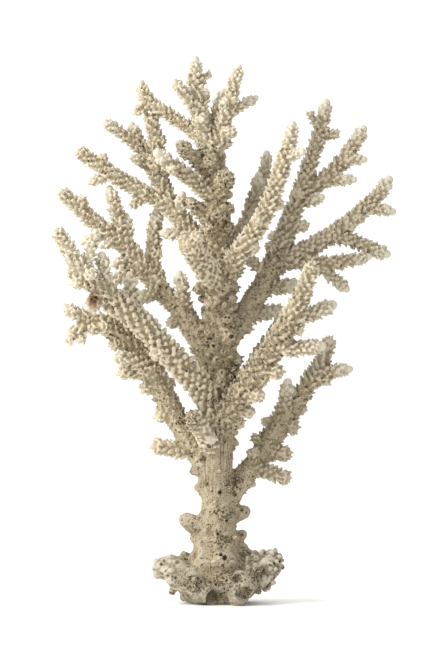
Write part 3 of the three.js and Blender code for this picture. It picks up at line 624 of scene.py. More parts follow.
def limb_cores(lines, name):
    """Growth lines as round, tapering limbs with domed tips, in one mesh."""
    curve = bpy.data.curves.new(name, "CURVE")
    curve.dimensions = "3D"
    curve.bevel_depth = MM
    curve.bevel_resolution = 3
    curve.use_fill_caps = True
    for line in lines:
        tip, end = line.core[-1], line.places[-1]
        places = [*line.places[:-1:2], end]
        radii = [*line.core[:-1:2], tip]
        for share in DOME_SHARES:
            places.append(end + line.tangents[-1] * tip * share)
            radii.append(tip * math.sqrt(1 - share * share))
        spline = curve.splines.new("POLY")
        spline.points.add(len(places) - 1)
        for point, place, radius in zip(spline.points, places, radii):
            point.co = (*(place * MM), 1.0)
            point.radius = radius
    cores = bpy.data.objects.new(name, curve)
    bpy.context.scene.collection.objects.link(cores)
    select_only(cores)
    bpy.ops.object.convert(target="MESH")
    return bpy.context.view_layer.objects.active


def holdfast_lobes():
    """The holdfast's overlapping lobes, still rounded underneath."""
    lobes = []
    for centre, half_widths in HOLDFAST_LOBES:
        bpy.ops.mesh.primitive_uv_sphere_add(segments=24, ring_count=14, radius=MM)
        lobe = bpy.context.object
        lobe.location = Vector(centre) * MM
        lobe.scale = half_widths
        bpy.ops.object.transform_apply(location=True, rotation=False, scale=True)
        lobes.append(lobe)
    return lobes


def knob_template(name, rings):
    """One knob of unit size: rings of (height, lean towards the limb's tip, radius), in millimetres."""
    height, lean, radius = rings[0]
    bpy.ops.mesh.primitive_circle_add(
        vertices=7, radius=radius, fill_type="NGON", location=(lean, 0, height)
    )
    knob = bpy.context.object
    knob.name = name
    bpy.ops.object.transform_apply()
    bpy.ops.object.mode_set(mode="EDIT")
    bpy.ops.mesh.select_all(action="SELECT")
    for (low, back, wide), (high, front, narrow) in zip(rings, rings[1:]):
        bpy.ops.mesh.extrude_region_move(
            TRANSFORM_OT_translate={"value": (front - back, 0, high - low)}
        )
        bpy.ops.transform.resize(value=(narrow / wide, narrow / wide, 1))
    bpy.ops.mesh.select_all(action="SELECT")
    bpy.ops.mesh.normals_make_consistent(inside=False)
    bpy.ops.mesh.quads_convert_to_tris()
    bpy.ops.object.mode_set(mode="OBJECT")
    return knob


def scale_knob():
    """The knob of the limbs: a blunt scale that leans towards the tip."""
    return knob_template(
        "scale_knob",
        [(-0.9, -0.5, 1.1), (0.3, 0.05, 1.15), (1.1, 0.6, 1.02), (1.85, 1.15, 0.82), (2.4, 1.5, 0.45)],
    )


def round_knob():
    """The knob of the trunk and the boldest limb: upright and nearly a ball."""
    return knob_template(
        "round_knob",
        [
            (-1.1, -0.1, 1.1), (0.3, 0.1, 1.1), (1.05, 0.3, 1.25), (1.7, 0.5, 1.08),
            (ROUND_TOP, ROUND_LEAN, 0.6),
        ],
    )


class Knobs:
    """Where knobs stand: root place, outward and tipward directions and size."""

    def __init__(self):
        self.roots, self.outward, self.tipward, self.sizes = [], [], [], []

    def add(self, root, outward, tipward, size):
        self.roots.append(root)
        self.outward.append(outward)
        self.tipward.append(tipward)
        self.sizes.append(size)

    def arrays(self):
        return (np.array(a) for a in (self.roots, self.outward, self.tipward, self.sizes))


def knob_places(lines):
    """Knobs in golden-angle spirals around every limb, leaving out those inside another limb."""
    scales, rounds = Knobs(), Knobs()
    samples = core_samples(lines)
    for number, line in enumerate(lines):
        if line.piece == "lower_trunk" and not line.on_trunk:
            continue
        kind = rounds if line.on_trunk or line.piece in BOLD else scales
        full_size = KNOB_SIZE.get(line.piece, 1.0) if line.on_trunk or line.piece not in TRUNK else 1.0
        along = FIRST_KNOB
        angle = RANDOM.uniform(0, 2 * math.pi)
        length = line.lengths[-1] + line.radii[-1] * 0.5
        while along < length:
            k = min(int(np.searchsorted(line.lengths, along)), len(line.places) - 1)
            growth = KNOB_YOUNGEST + (1 - KNOB_YOUNGEST) * ramp(line.to_tip[k], line.bare, line.grown)
            width = growth * full_size
            spacing = KNOB_SPACING * width / line.cover
            along += spacing * spacing / (2 * math.pi * (line.core[k] + 0.8))
            angle += TURN + RANDOM.normal(0, KNOB_STRAY / line.radii[k])
            flat = ramp(line.radii[k], *SMOOTH_BASE) * (line.piece in SMOOTH_BASED)
            if line.to_tip[k] < line.bare or RANDOM.random() < 0.4 * flat:
                continue
            tangent = line.tangents[k]
            side = unit(np.cross(tangent, ASKEW))
            outward = math.cos(angle) * side + math.sin(angle) * np.cross(tangent, side)
            tipward = unit(tangent + RANDOM.normal(0, KNOB_LEAN, 3))
            tipward = unit(tipward - outward * tipward.dot(outward))
            root = line.places[k] + outward * line.core[k]
            smallest, largest = TRUNK_KNOBS if line.on_trunk else LIMB_KNOBS
            size = width * RANDOM.uniform(smallest, largest) * min(1.0, 0.66 + 0.12 * line.radii[k])
            size *= 1 - 0.5 * flat
            if hidden(root, number, samples):
                continue
            kind.add(root, unit(outward + RANDOM.normal(0, KNOB_TILT, 3)), tipward, size)
        if line.bare == 0 and not line.on_trunk:
            add_crown(scales, line)
    for number, (count, smallest, largest) in LOBE_KNOBS.items():
        add_lobe_knobs(rounds, samples, *HOLDFAST_LOBES[number], count, smallest, largest)
    return scales, rounds


def add_lobe_knobs(knobs, samples, centre, half_widths, count, smallest, largest):
    """Knobs scattered over one lobe of the holdfast, where it isn't inside a neighbour."""
    for number in range(count):
        rise = 1 - (2 * number + 1) / count
        angle = number * TURN
        flank = math.sqrt(1 - rise * rise)
        direction = np.array([math.cos(angle) * flank, math.sin(angle) * flank, rise])
        sphere = unit(direction + RANDOM.normal(0, LOBE_STRAY, 3))
        size = RANDOM.uniform(smallest, largest)
        root = np.array(centre) + sphere * half_widths
        if root[2] < LOWEST_LOBE_KNOB or lobe_gaps(root[None])[0] < -LOBE_BURIED or hidden(root, -1, samples):
            continue
        outward = unit(sphere / half_widths)
        knobs.add(root - outward * 0.8 * size, outward, unit(np.cross(outward, [0.9, 0.1, 0.2])), size)


def add_crown(knobs, line):
    """Knobs all over the domed end of a blunt spur."""
    radius = line.core[-1]
    count = round(2 * math.pi * radius ** 2 / KNOB_SPACING ** 2 * 1.2)
    axis = line.tangents[-1]
    side = unit(np.cross(axis, ASKEW))
    for number in range(count):
        rise = 1 - (number + 0.5) / count
        angle = number * TURN
        flank = math.cos(angle) * side + math.sin(angle) * np.cross(axis, side)
        outward = rise * axis + math.sqrt(1 - rise * rise) * flank
        tipward = unit(axis - outward * outward.dot(axis) + 0.01 * flank)
        knobs.add(line.places[-1] + outward * radius, outward, tipward, RANDOM.uniform(*CROWN_KNOBS))


def core_samples(lines):
    """Every other sample of all growth lines: its place, its core's radius and its line's number."""
    places = np.concatenate([line.places[::2] for line in lines])
    cores = np.concatenate([line.core[::2] for line in lines])
    owners = np.repeat(np.arange(len(lines)), [len(line.places[::2]) for line in lines])
    return places, cores, owners


def hidden(root, number, samples):
    """True if a knob's root lies inside a limb other than its own."""
    places, cores, owners = samples
    apart = np.linalg.norm(places - root, axis=1) - cores
    return bool(np.any((apart < -BURIED) & (owners != number)))


def mesh_object(name, vertices, corners, starts):
    """An object from places in metres, the faces' corners in one row, and where in it each face starts."""
    mesh = bpy.data.meshes.new(name)
    mesh.vertices.add(len(vertices))
    mesh.vertices.foreach_set("co", vertices.astype(np.float32).ravel())
    mesh.loops.add(len(corners))
    mesh.loops.foreach_set("vertex_index", corners.astype(np.int32))
    mesh.polygons.add(len(starts))
    mesh.polygons.foreach_set("loop_start", starts.astype(np.int32))
    mesh.update(calc_edges=True)
    obj = bpy.data.objects.new(name, mesh)
    bpy.context.scene.collection.objects.link(obj)
    return obj


def arrays_of(mesh, corners):
    vertices = np.empty(len(mesh.vertices) * 3, np.float32)
    mesh.vertices.foreach_get("co", vertices)
    faces = np.empty(len(mesh.loops), np.int32)
    mesh.loops.foreach_get("vertex_index", faces)
    return vertices.reshape(-1, 3).astype(float), faces.reshape(-1, corners)


def stamped(template, knobs):
    """A copy of the template knob at every place, in one mesh."""
    shape, faces = arrays_of(template.data, 3)
    roots, outward, tipward, sizes = knobs.arrays()
    sideways = unit(np.cross(outward, tipward))
    outward = unit(outward)
    frames = np.stack([np.cross(sideways, outward), sideways, outward], axis=1)
    vertices = np.einsum("vi,kij->kvj", shape, frames) * sizes[:, None, None] + roots[:, None]
    offsets = np.arange(len(roots))[:, None, None] * len(shape)
    corners = (faces[None] + offsets).ravel()
    starts = np.arange(0, len(corners), 3)
    obj = mesh_object(template.name + "s", vertices.reshape(-1, 3) * MM, corners, starts)
    bpy.data.objects.remove(template)
    return obj


def modifier(obj, kind, **settings):
    select_only(obj)
    added = obj.modifiers.new(kind.lower(), kind)
    for key, value in settings.items():
        setattr(added, key, value)
    bpy.ops.object.modifier_apply(modifier=added.name)


def clouds(name, size):
    texture = bpy.data.textures.new(name, "CLOUDS")
    texture.noise_scale = size * MM
    texture.noise_depth = 2
    return texture


def fused(parts, width, smoothings):
    """Fuses overlapping closed parts into one skin with faces of one width, and smooths it."""
    bpy.ops.object.select_all(action="DESELECT")
    for part in parts:
        part.select_set(True)
    bpy.context.view_layer.objects.active = parts[0]
    bpy.ops.object.join()
    skin = bpy.context.object
    modifier(skin, "REMESH", mode="VOXEL", voxel_size=width * MM)
    modifier(skin, "SMOOTH", factor=0.5, iterations=smoothings)
    return skin


def craggy(mass):
    """Heaves the holdfast and the foot of the trunk into crags, less and less up the trunk."""
    normals = [vertex.normal.copy() for vertex in mass.data.vertices]
    for vertex, normal in zip(mass.data.vertices, normals):
        place = vertex.co / MM
        low = 1 - float(ramp(place.z, *CRAG_FADE))
        crags = noise.noise(place / CRAG_LENGTH)
        ridges = noise.turbulence(place / RIDGE_LENGTH, 3, True) - 0.7
        heave = low * (CRAG_HEAVE * crags + RIDGE_HEAVE * ridges)
        heave += TRUNK_HEAVE * noise.noise(place / TRUNK_LENGTH)
        vertex.co += normal * heave * MM
    return mass


# ---------------------------------------------------------------- what each place on the skin is
REACH = 19.0  # no core is thicker than this
CELL = 12.0


def nearest_lines(places, lines):
    """For each place, the nearest sample of any growth line, and the distance from its core."""
    sites, cores, _ = core_samples(lines)
    cells = np.floor(places / CELL).astype(np.int64) + 64
    keys = (cells[:, 0] * 128 + cells[:, 1]) * 128 + cells[:, 2]
    order = np.argsort(keys, kind="stable")
    starts = np.flatnonzero(np.diff(keys[order], prepend=-1))
    nearest = np.zeros(len(places), int)
    gap = np.full(len(places), REACH)
    for start, stop in zip(starts, [*starts[1:], len(places)]):
        group = order[start:stop]
        near = places[group]
        low, high = near.min(0) - REACH, near.max(0) + REACH
        found = np.flatnonzero(np.all((sites > low) & (sites < high), axis=1))
        if not len(found):
            continue
        apart = np.linalg.norm(near[:, None] - sites[found][None], axis=2) - cores[found]
        best = apart.argmin(axis=1)
        nearest[group] = found[best]
        gap[group] = apart[np.arange(len(group)), best]
    return nearest, gap


def lobe_gaps(places):
    """How far each place lies outside the nearest lobe of the holdfast, roughly, in millimetres."""
    gaps = []
    for centre, half_widths in HOLDFAST_LOBES:
        widths = np.array(half_widths, float)
        share = np.linalg.norm((places - np.array(centre, float)) / widths, axis=1)
        gaps.append((share - 1) * widths.min())
    return np.min(gaps, axis=0)


# ---------------------------------------------------------------- pits, grooves and craters
# Cups and craters on the front of the trunk and holdfast, in millimetres: place across and up, radius
# of the mouth, depth, and height of the mound around it.
FRONT_CUPS = [
    (5, 46, 1.0, 2.4, 1.2), (1, 39, 0.9, 2.0, 1.1), (2, 61.5, 1.3, 1.8, 1.3), (-5, 87, 1.1, 2.0, 0.9),
    (3.5, 89, 0.8, 1.5, 0.8), (-8.5, 80, 1.7, 1.2, 0.5), (-6, 56, 0.6, 0.3, 1.3), (-8, 34, 1.8, 0.8, 0.4),
    (8, 35, 1.2, 0.4, 1.1), (-12, 40, 1.0, 0.6, 0.9), (-22, 24, 1.6, 0.9, 0.5),
    (4.8, 26.5, 1.6, 3.2, 0.5), (1.8, 28.3, 1.1, 2.4, 0.4), (3.4, 21.3, 1.0, 2.4, 0.3),
    (10, 15.5, 2.8, 3.0, 0.8), (14.5, 6.5, 4.3, 2.4, 0.9), (-3, 4, 4.2, 5.0, 0.0),
    (7, 147, 1.2, 2.2, 0.9), (-12, 118, 1.1, 2.0, 0.8), (-17, 129, 1.0, 1.8, 0.8), (3, 133, 0.9, 1.6, 0.7),
    (-2, 141, 0.8, 1.4, 0.5), (4, 158, 1.0, 1.8, 0.8), (-3, 152, 0.8, 1.4, 0.6), (5, 167, 1.0, 1.8, 0.7),
    (0, 208, 1.0, 1.6, 0.6), (2, 222, 0.8, 1.4, 0.4), (-3, 216, 0.8, 1.4, 0.4), (8, 122, 0.8, 1.4, 0.5),
    (14, 52, 1.0, 1.4, 0.2), (14, 38, 1.0, 1.4, 0.2), (15, 30, 0.8, 1.2, 0.2), (24, 96, 1.0, 1.8, 0.4),
    (-66.5, 166, 2.0, 1.6, 0.4),
]

# Stretches with their own crop of small pores: zone, lowest and highest height, pores per square
# centimetre, and smallest and largest radius.
PORE_CROPS = [
    ("limbs", 0, 400, 3.0, 0.42, 0.62),
    ("limb bases", 0, 400, 7.0, 0.45, 0.72),
    ("trunk", 96, 400, 7.0, 0.45, 0.80),
    ("trunk", 20, 50, 6.0, 0.45, 0.70),
    ("trunk", 50, 96, 2.0, 0.45, 0.70),
    ("holdfast", 1, 50, 7.0, 0.45, 0.85),
    ("nets", 0, 400, 14.0, 0.42, 0.60),
]
# Nets of close-set pores in front: place across and up, and half-widths across and up.
NETS = [
    (3, 50, 7, 5.5), (9, 66, 6, 7), (5, 14, 9, 6), (14, 7, 6, 5), (-12, 11, 10, 5), (-15, 102, 7, 9),
    (3, 35, 6, 4), (21, 17, 6, 5), (0, 111, 8, 5), (9, 127, 5, 7),
]
TOP_HOLE = (0.42, 1.5, 0.25)  # hole in a large round knob: radius for unit size, depth and rim height
SMALLEST_HOLED = 1.45  # smaller round knobs have no hole
RUST = (-66.5, 166, 5.2)  # a rust stain in front: place across and up, and width
GROOVED = (56, 64, 94, 103)  # the trunk's bare stretch is grooved between these heights
GROOVE_DEPTH = 0.9


def carve(places, normals, tree, centre, axis, radius, depth, mound, hole_shade):
    """Sinks a hollow along an axis, raises a mound around it and paints shade into its inside."""
    for _, index, _ in tree.find_range(Vector(centre), radius * 2.6 + depth * 0.4):
        offset = places[index] - centre
        away = np.linalg.norm(offset - axis * offset.dot(axis)) / radius
        if normals[index].dot(axis) < -0.2 or away > 2.6:
            continue
        sink = (depth + mound) * max(0.0, 1 - away * away) ** 0.6
        raised = mound * math.exp(-max(0.0, away - 0.8) ** 2 * 1.4)
        places[index] = places[index] + axis * (raised - sink)
        shade = min(1.0, 1.5 * max(0.0, 1 - away ** 2)) * min(1.0, depth / 1.6) * min(1.0, 1.6 / radius)
        hole_shade[index] = max(hole_shade[index], shade)


def front_place(places, x, z):
    """The foremost place on the skin near (x, z)."""
    away = np.hypot(places[:, 0] - x, places[:, 2] - z)
    close = np.flatnonzero(away < max(0.8, away.min() + 0.3))
    return int(close[places[close, 1].argmin()])


def carve_cups(places, normals, zones, tops):
    """Cups in front, holes in round knobs and crops of small pores. Gives how much shade is painted at each
    place.
    """
    hole_shade = np.zeros(len(places))
    tree = kdtree.KDTree(len(places))
    for index, place in enumerate(places):
        tree.insert(place, index)
    tree.balance()
    for x, z, radius, depth, mound in FRONT_CUPS:
        found = front_place(places, x, z)
        axis = unit(normals[found] + np.array([0, -1.0, 0]))
        carve(places, normals, tree, places[found].copy(), axis, radius, depth, mound, hole_shade)
    radius, depth, mound = TOP_HOLE
    for top, axis, size in tops:
        _, found, apart = tree.find(top)
        if apart < size:
            carve(places, normals, tree, places[found].copy(), axis, radius * size, depth, mound, hole_shade)
    area = SKIN * SKIN / 100  # of the skin around one place, in square centimetres
    for zone, low, high, share, smallest, largest in PORE_CROPS:
        inside = np.flatnonzero(zones[zone] & (places[:, 2] > low) & (places[:, 2] < high))
        for found in RANDOM.choice(inside, int(len(inside) * area * share), replace=False):
            radius = RANDOM.uniform(smallest, largest)
            mound = radius * RANDOM.uniform(0.0, 0.7)
            axis = normals[found].copy()
            carve(places, normals, tree, places[found].copy(), axis, radius, radius * 1.8, mound, hole_shade)
    return hole_shade


def grooves(places, normals, on_trunk):
    """Fine grooves that run up the bare stretch of the lower trunk, and how deep they are, 0 to 1."""
    bottom, full, fading, top = GROOVED
    height = places[:, 2]
    band = ramp(height, bottom, full) * (1 - ramp(height, fading, top)) * on_trunk
    around = np.arctan2(places[:, 1], places[:, 0] + 1)
    wander = 0.8 * np.sin(height * 0.17 + 3 * around) + 0.4 * np.sin(height * 0.43 + 7 * around)
    fine = 0.5 * np.sin(around * 43 + wander) + 0.5 * np.sin(around * 29 - wander * 1.7 + 1.0)
    patchy = 0.45 + 0.55 * np.sin(around * 3 + height * 0.11 + 1.2)
    depth = band * np.clip(fine, 0, 1) ** 1.5 * np.clip(patchy + 0.3, 0.15, 1)
    return places - normals * (GROOVE_DEPTH * depth)[:, None], depth


def blurred(values, faces, rounds):
    """Values at the corners of faces, averaged with their neighbours' again and again."""
    left = faces.ravel()
    right = np.roll(faces, -1, axis=1).ravel()
    count = np.maximum(np.bincount(left, minlength=len(values)) * 2, 1)
    for _ in range(rounds):
        columns = []
        for column in np.atleast_2d(values.T):
            total = np.bincount(left, column[right], len(column))
            total += np.bincount(right, column[left], len(column))
            columns.append(total / count)
        values = np.array(columns).T if values.ndim > 1 else columns[0]
    return values


# ---------------------------------------------------------------- parting the skin at the forks
SMALLEST_PATCH = 300  # a patch of fewer faces than this joins its neighbour


def face_pairs(faces, count):
    """For each edge of the skin: the two faces that share it, and its two ends as the first face runs."""
    corners = faces.shape[1]
    starts = faces.ravel()
    ends = np.roll(faces, -1, axis=1).ravel()
    owners = np.repeat(np.arange(len(faces)), corners)
    keys = np.minimum(starts, ends).astype(np.int64) * count + np.maximum(starts, ends)
    order = np.argsort(keys, kind="stable")
    same = np.flatnonzero(keys[order][1:] == keys[order][:-1])
    first, second = order[same], order[same + 1]
    return owners[first], owners[second], starts[first], ends[first]


def patches(labels, left, right):
    """Numbers the connected patches of faces that share a label."""
    patch = np.arange(len(labels))
    joined = labels[left] == labels[right]
    a, b = left[joined], right[joined]
    while True:
        low = np.minimum(patch[a], patch[b])
        before = patch.copy()
        np.minimum.at(patch, patch[a], low)
        np.minimum.at(patch, patch[b], low)
        patch = patch[patch]
        if np.array_equal(before, patch):
            return patch


def tidy_labels(labels, left, right):
    """Gives every small stray patch the label of a neighbour."""
    for _ in range(4):
        patch = patches(labels, left, right)
        sizes = np.bincount(patch, minlength=len(labels))[patch]
        small = sizes < SMALLEST_PATCH
        if not small.any():
            break
        for a, b in ((left, right), (right, left)):
            takes = small[a] & (sizes[b] > sizes[a]) & (labels[a] != labels[b])
            new = dict(zip(patch[a[takes]].tolist(), labels[b[takes]].tolist()))
            for number, label in new.items():
                labels[patch == number] = label
                small[patch == number] = False
    return labels


def caps(starts, ends, vertices):
    """Closes each open edge loop of a piece with a fan to a point in the limb's middle."""
    parent = {}

    def root(v):
        while parent.setdefault(v, v) != v:
            v = parent[v]
        return v

    for a, b in zip(starts.tolist(), ends.tolist()):
        parent[root(a)] = root(b)
    loops = {}
    for a, b in zip(starts.tolist(), ends.tolist()):
        loops.setdefault(root(a), []).append((a, b))
    extra, fans = [], []
    for edges in loops.values():
        middle = len(vertices) + len(extra)
        extra.append(vertices[[a for a, _ in edges]].mean(axis=0))
        fans += [(b, a, middle) for a, b in edges]
    return extra, fans


def piece_object(name, label, labels, faces, pairs, vertices, attributes):
    """One piece of the skin, capped where it left its neighbours, with its place in its mesh."""
    left, right, starts, ends = pairs
    leaves = (labels[left] == label) & (labels[right] != label)
    enters = (labels[right] == label) & (labels[left] != label)
    open_starts = np.concatenate([starts[leaves], ends[enters]])
    open_ends = np.concatenate([ends[leaves], starts[enters]])
    extra, fans = caps(open_starts, open_ends, vertices)
    quads = faces[labels == label]
    used = np.unique(quads)
    renumber = np.full(len(vertices) + len(extra), -1)
    renumber[used] = np.arange(len(used))
    renumber[len(vertices):] = len(used) + np.arange(len(extra))
    tris = renumber[np.array(fans)] if fans else np.empty((0, 3), int)
    places = np.vstack([vertices[used]] + ([np.array(extra)] if extra else [])) * MM
    corners = np.concatenate([renumber[quads].ravel(), tris.ravel()])
    loop_starts = np.concatenate([np.arange(len(quads)) * 4, len(quads) * 4 + np.arange(len(tris)) * 3])
    obj = mesh_object(name, places, corners, loop_starts)
    mesh = obj.data
    mesh.polygons.foreach_set("use_smooth", np.arange(len(loop_starts)) < len(quads))
    for key, values in attributes.items():
        layer = mesh.attributes.new(key, "FLOAT", "POINT")
        layer.data.foreach_set("value", np.append(values[used], np.zeros(len(extra))).astype(np.float32))
    mesh.validate()
    return obj


def cut_flat(foot):
    """Takes the holdfast off at height 0 and fills the cut, flat to within CUT_TOLERANCE.

    The filled cut isn't perfectly closed: a few edges in it stay open or have more than two faces.
    """
    select_only(foot)
    bpy.ops.object.mode_set(mode="EDIT")
    bpy.ops.mesh.select_all(action="SELECT")
    bpy.ops.mesh.bisect(
        plane_co=(0, 0, 0), plane_no=(0, 0, 1), clear_inner=True, use_fill=True,
        threshold=CUT_TOLERANCE * MM,
    )
    bpy.ops.object.mode_set(mode="OBJECT")


# ---------------------------------------------------------------- materials
def linear(hex_colour):
    """An sRGB hex colour as the linear RGBA that shader sockets take."""
    channels = [int(hex_colour[i:i + 2], 16) / 255 for i in (1, 3, 5)]
    return (*(c / 12.92 if c <= 0.04045 else ((c + 0.055) / 1.055) ** 2.4 for c in channels), 1.0)


def add(tree, kind, sockets, output=0, **settings):
    """Adds a shader node, with a value or a link for each socket given, and gives one of its outputs."""
    node = tree.nodes.new(kind)
    for key, value in settings.items():
        setattr(node, key, value)
    for key, value in sockets.items():
        if isinstance(value, bpy.types.NodeSocket):
            tree.links.new(value, node.inputs[key])
        else:
            node.inputs[key].default_value = value
    return node.outputs[output] if node.outputs else None


# Noises that vary the coral, in millimetres between features: the uneven edge of the shade painted in
# the valleys, broad drifts of age and painted shade, patches of pin pores, and the chalky grain of the
# mineral.
CORAL_NOISES = {"valley_shade_edge": (2.2, 3.0), "drift": (20.0, 4.0), "patch": (6.0, 2.0), "grain": (0.6, 2.0)}
PORE_SPACING = 1.15
SKIN_NOTES = ("relief", "tip_pale", "pit_shade", "tan", "porous", "net", "stain")
COLOUR, UNDER, OVER = 2, 6, 7  # the Mix node's colour output and its two colour inputs


def coral_material(name, cream, shaded_valley, tan_and_shade_cream, tan_and_shade_valley):
    """Dry calcium carbonate, grown in knobs and never worked: matt and chalky, with cream knobs, painted
    shade in the valleys between them and in holes, darker where tanned and where shade is painted on the
    rear, whiter growing tips and pin pores that swallow the light."""
    material = bpy.data.materials.new(name)
    material.use_nodes = True
    tree = material.node_tree
    tree.nodes.clear()
    place = add(tree, "ShaderNodeTexCoord", {}, "Object")
    noises = {}
    for key, (millimetres, detail) in CORAL_NOISES.items():
        sockets = {"Vector": place, "Scale": 1 / (millimetres * MM), "Detail": detail, "Roughness": 0.55}
        noises[key] = add(tree, "ShaderNodeTexNoise", sockets, "Fac")
    notes = {}
    for key in SKIN_NOTES:
        notes[key] = add(tree, "ShaderNodeAttribute", {}, "Fac", attribute_name=key)

    # how far each place stands above its valley, made uneven by noise; the valleys get painted shade
    lowered = add(tree, "ShaderNodeMath", {0: notes["relief"], 1: 0.25}, operation="SUBTRACT")
    uneven = {0: noises["valley_shade_edge"], 1: 0.5, 2: lowered}
    raised = add(tree, "ShaderNodeMath", uneven, operation="MULTIPLY_ADD")
    raised = add(tree, "ShaderNodeMapRange", {0: raised, 1: 0.2, 2: 0.8}, interpolation_type="SMOOTHSTEP")
    # how far it is darkened: partly tanned with age, partly painted shade
    drift = {0: noises["drift"], 1: 0.35, 2: 0.7}
    drift = add(tree, "ShaderNodeMapRange", drift, interpolation_type="SMOOTHSTEP")
    drift = add(tree, "ShaderNodeMath", {0: drift, 1: 0.6, 2: 0.5}, operation="MULTIPLY_ADD")
    tan_and_shade_share = {0: notes["tan"], 1: drift}
    tan_and_shade_share = add(tree, "ShaderNodeMath", tan_and_shade_share, operation="MULTIPLY", use_clamp=True)
    # low ground, and everywhere on thick limbs and the trunk, has pin pores in patches
    high = {0: notes["relief"], 1: 0.45, 2: 0.8, 3: 1.0, 4: 0.0}
    low_ground = add(tree, "ShaderNodeMapRange", high, interpolation_type="SMOOTHSTEP")
    bare = add(tree, "ShaderNodeMath", {0: notes["porous"], 1: 0.75}, operation="MULTIPLY")
    low_ground = add(tree, "ShaderNodeMath", {0: low_ground, 1: bare}, operation="MAXIMUM")
    patch = {0: notes["porous"], 1: 0.25, 2: noises["patch"]}
    patch = add(tree, "ShaderNodeMath", patch, operation="MULTIPLY_ADD")
    patch = add(tree, "ShaderNodeMapRange", {0: patch, 1: 0.42, 2: 0.58}, interpolation_type="SMOOTHSTEP")
    patch = add(tree, "ShaderNodeMath", {0: patch, 1: low_ground}, operation="MULTIPLY")
    patch = add(tree, "ShaderNodeMath", {0: patch, 1: notes["net"]}, operation="MAXIMUM")
    # the pin pores, about 0.7 mm wide, drawn a little coarser than they are and wider in the nets
    pores = {"Vector": place, "Scale": 1 / (PORE_SPACING * MM), "Randomness": 0.85}
    pores = add(tree, "ShaderNodeTexVoronoi", pores, "Distance")
    pores = {0: notes["net"], 1: -0.14, 2: pores}
    pores = add(tree, "ShaderNodeMath", pores, operation="MULTIPLY_ADD")
    speck = {0: pores, 1: 0.22, 2: 0.36, 3: 1.0, 4: 0.0}
    speck = add(tree, "ShaderNodeMapRange", speck, interpolation_type="SMOOTHSTEP")
    speck = add(tree, "ShaderNodeMath", {0: speck, 1: patch}, operation="MULTIPLY")

    mix = {"data_type": "RGBA"}
    # painted shade: the ground between the knobs is painted darker, their tops cream
    fresh = {0: raised, UNDER: linear(shaded_valley), OVER: linear(cream)}
    colour = add(tree, "ShaderNodeMix", fresh, COLOUR, **mix)
    tan_and_shade_colour = {0: raised, UNDER: linear(tan_and_shade_valley), OVER: linear(tan_and_shade_cream)}
    tan_and_shade_colour = add(tree, "ShaderNodeMix", tan_and_shade_colour, COLOUR, **mix)
    coats = (
        # darker where tanned: partly real tanning, partly painted shade on the rear and lower pieces
        (tan_and_shade_share, 1.0, tan_and_shade_colour),
        (notes["tip_pale"], 0.52, linear("#d8d2c2")),  # chalk white fresh growth
        (patch, 0.55, linear(shaded_valley)),  # pores too fine to see
        (speck, 0.82, linear("#54452f")),  # pin pores
        (notes["stain"], 0.9, linear("#7d5c3e")),  # rust
        (notes["pit_shade"], 0.8, linear("#3a2e20")),  # painted shade in carved holes and grooves, the darkest of all
    )
    for share, most, over in coats:
        share = add(tree, "ShaderNodeMath", {0: share, 1: most}, operation="MULTIPLY")
        colour = add(tree, "ShaderNodeMix", {0: share, UNDER: colour, OVER: over}, COLOUR, **mix)

    height = add(tree, "ShaderNodeMath", {0: noises["grain"], 1: 0.5}, operation="MULTIPLY")
    height = add(tree, "ShaderNodeMath", {0: height, 1: speck}, operation="SUBTRACT")
    relief = {"Height": height, "Strength": 0.7, "Distance": 0.45 * MM}
    relief = add(tree, "ShaderNodeBump", relief, "Normal")
    finish = {"Base Color": colour, "Normal": relief, "Roughness": 0.92, "Specular IOR Level": 0.25}
    surface = add(tree, "ShaderNodeBsdfPrincipled", finish, "BSDF")
    add(tree, "ShaderNodeOutputMaterial", {"Surface": surface})
    return material


def branch_coral():
    """The branching skeleton: creamy, warmer and darker where age has tanned it and where shade is painted
    on.
    """
    return coral_material("branch_coral", "#cec4ad", "#a99a7c", "#a59c89", "#857a67")


def holdfast_coral():
    """The holdfast's dense, weathered skeleton: greyer than the branches."""
    return coral_material("holdfast_coral", "#c6beac", "#8f846c", "#a39a86", "#7b7059")


# ---------------------------------------------------------------- the colony
THICK_LIMB = 6.2  # limbs of a larger radius are smoother and more porous
GROWING = 12.0  # length of the pale growing tip
RELIEF_BLUR = 14  # rounds of averaging that even out the knobs, to tell high ground from low
TIP_BLUR = 10  # and those that soften the edge of a pale tip
TAN_SHADE_AND_BLEACH_BLUR = 40  # of a piece's tanning and painted shade, or its bleaching
THICK_BLUR = 20  # and of the porous trunk and thick limbs


def grown_skin(scales, rounds, lines):
    """The whole colony as one skin: cores with filled forks and a craggy holdfast, under knobs."""
    mass = craggy(fused([limb_cores(lines, "mass"), *holdfast_lobes()], MASS, 12))
    limbs = [line for line in lines if line.piece != "lower_trunk"]
    parts = [mass, limb_cores(limbs, "cores"), stamped(scale_knob(), scales), stamped(round_knob(), rounds)]
    skin = fused(parts, SKIN, 1)
    for name, length, height in ROUGHNESS:
        modifier(skin, "DISPLACE", texture=clouds(name, length), strength=height * MM, mid_level=0.5)
    return skin


def normals_of(mesh):
    normals = np.empty(len(mesh.vertices) * 3, np.float32)
    mesh.vertices.foreach_get("normal", normals)
    return normals.reshape(-1, 3).astype(float)


def stain(places):
    """How much each place is stained by rust, 0 to 1."""
    across, up, width = RUST
    away = np.hypot(places[:, 0] - across, (places[:, 2] - up) * 0.8) / width
    return (1 - ramp(away, 0.3, 1.0)) * (places[:, 1] < 0)


def nets(places):
    """How much each place belongs to a net of close-set pores, 0 to 1."""
    most = np.zeros(len(places))
    for across, up, half_wide, half_tall in NETS:
        away = np.hypot((places[:, 0] - across) / half_wide, (places[:, 2] - up) / half_tall)
        most = np.maximum(most, 1 - ramp(away, 0.6, 1.1))
    return most * (places[:, 1] < 2)


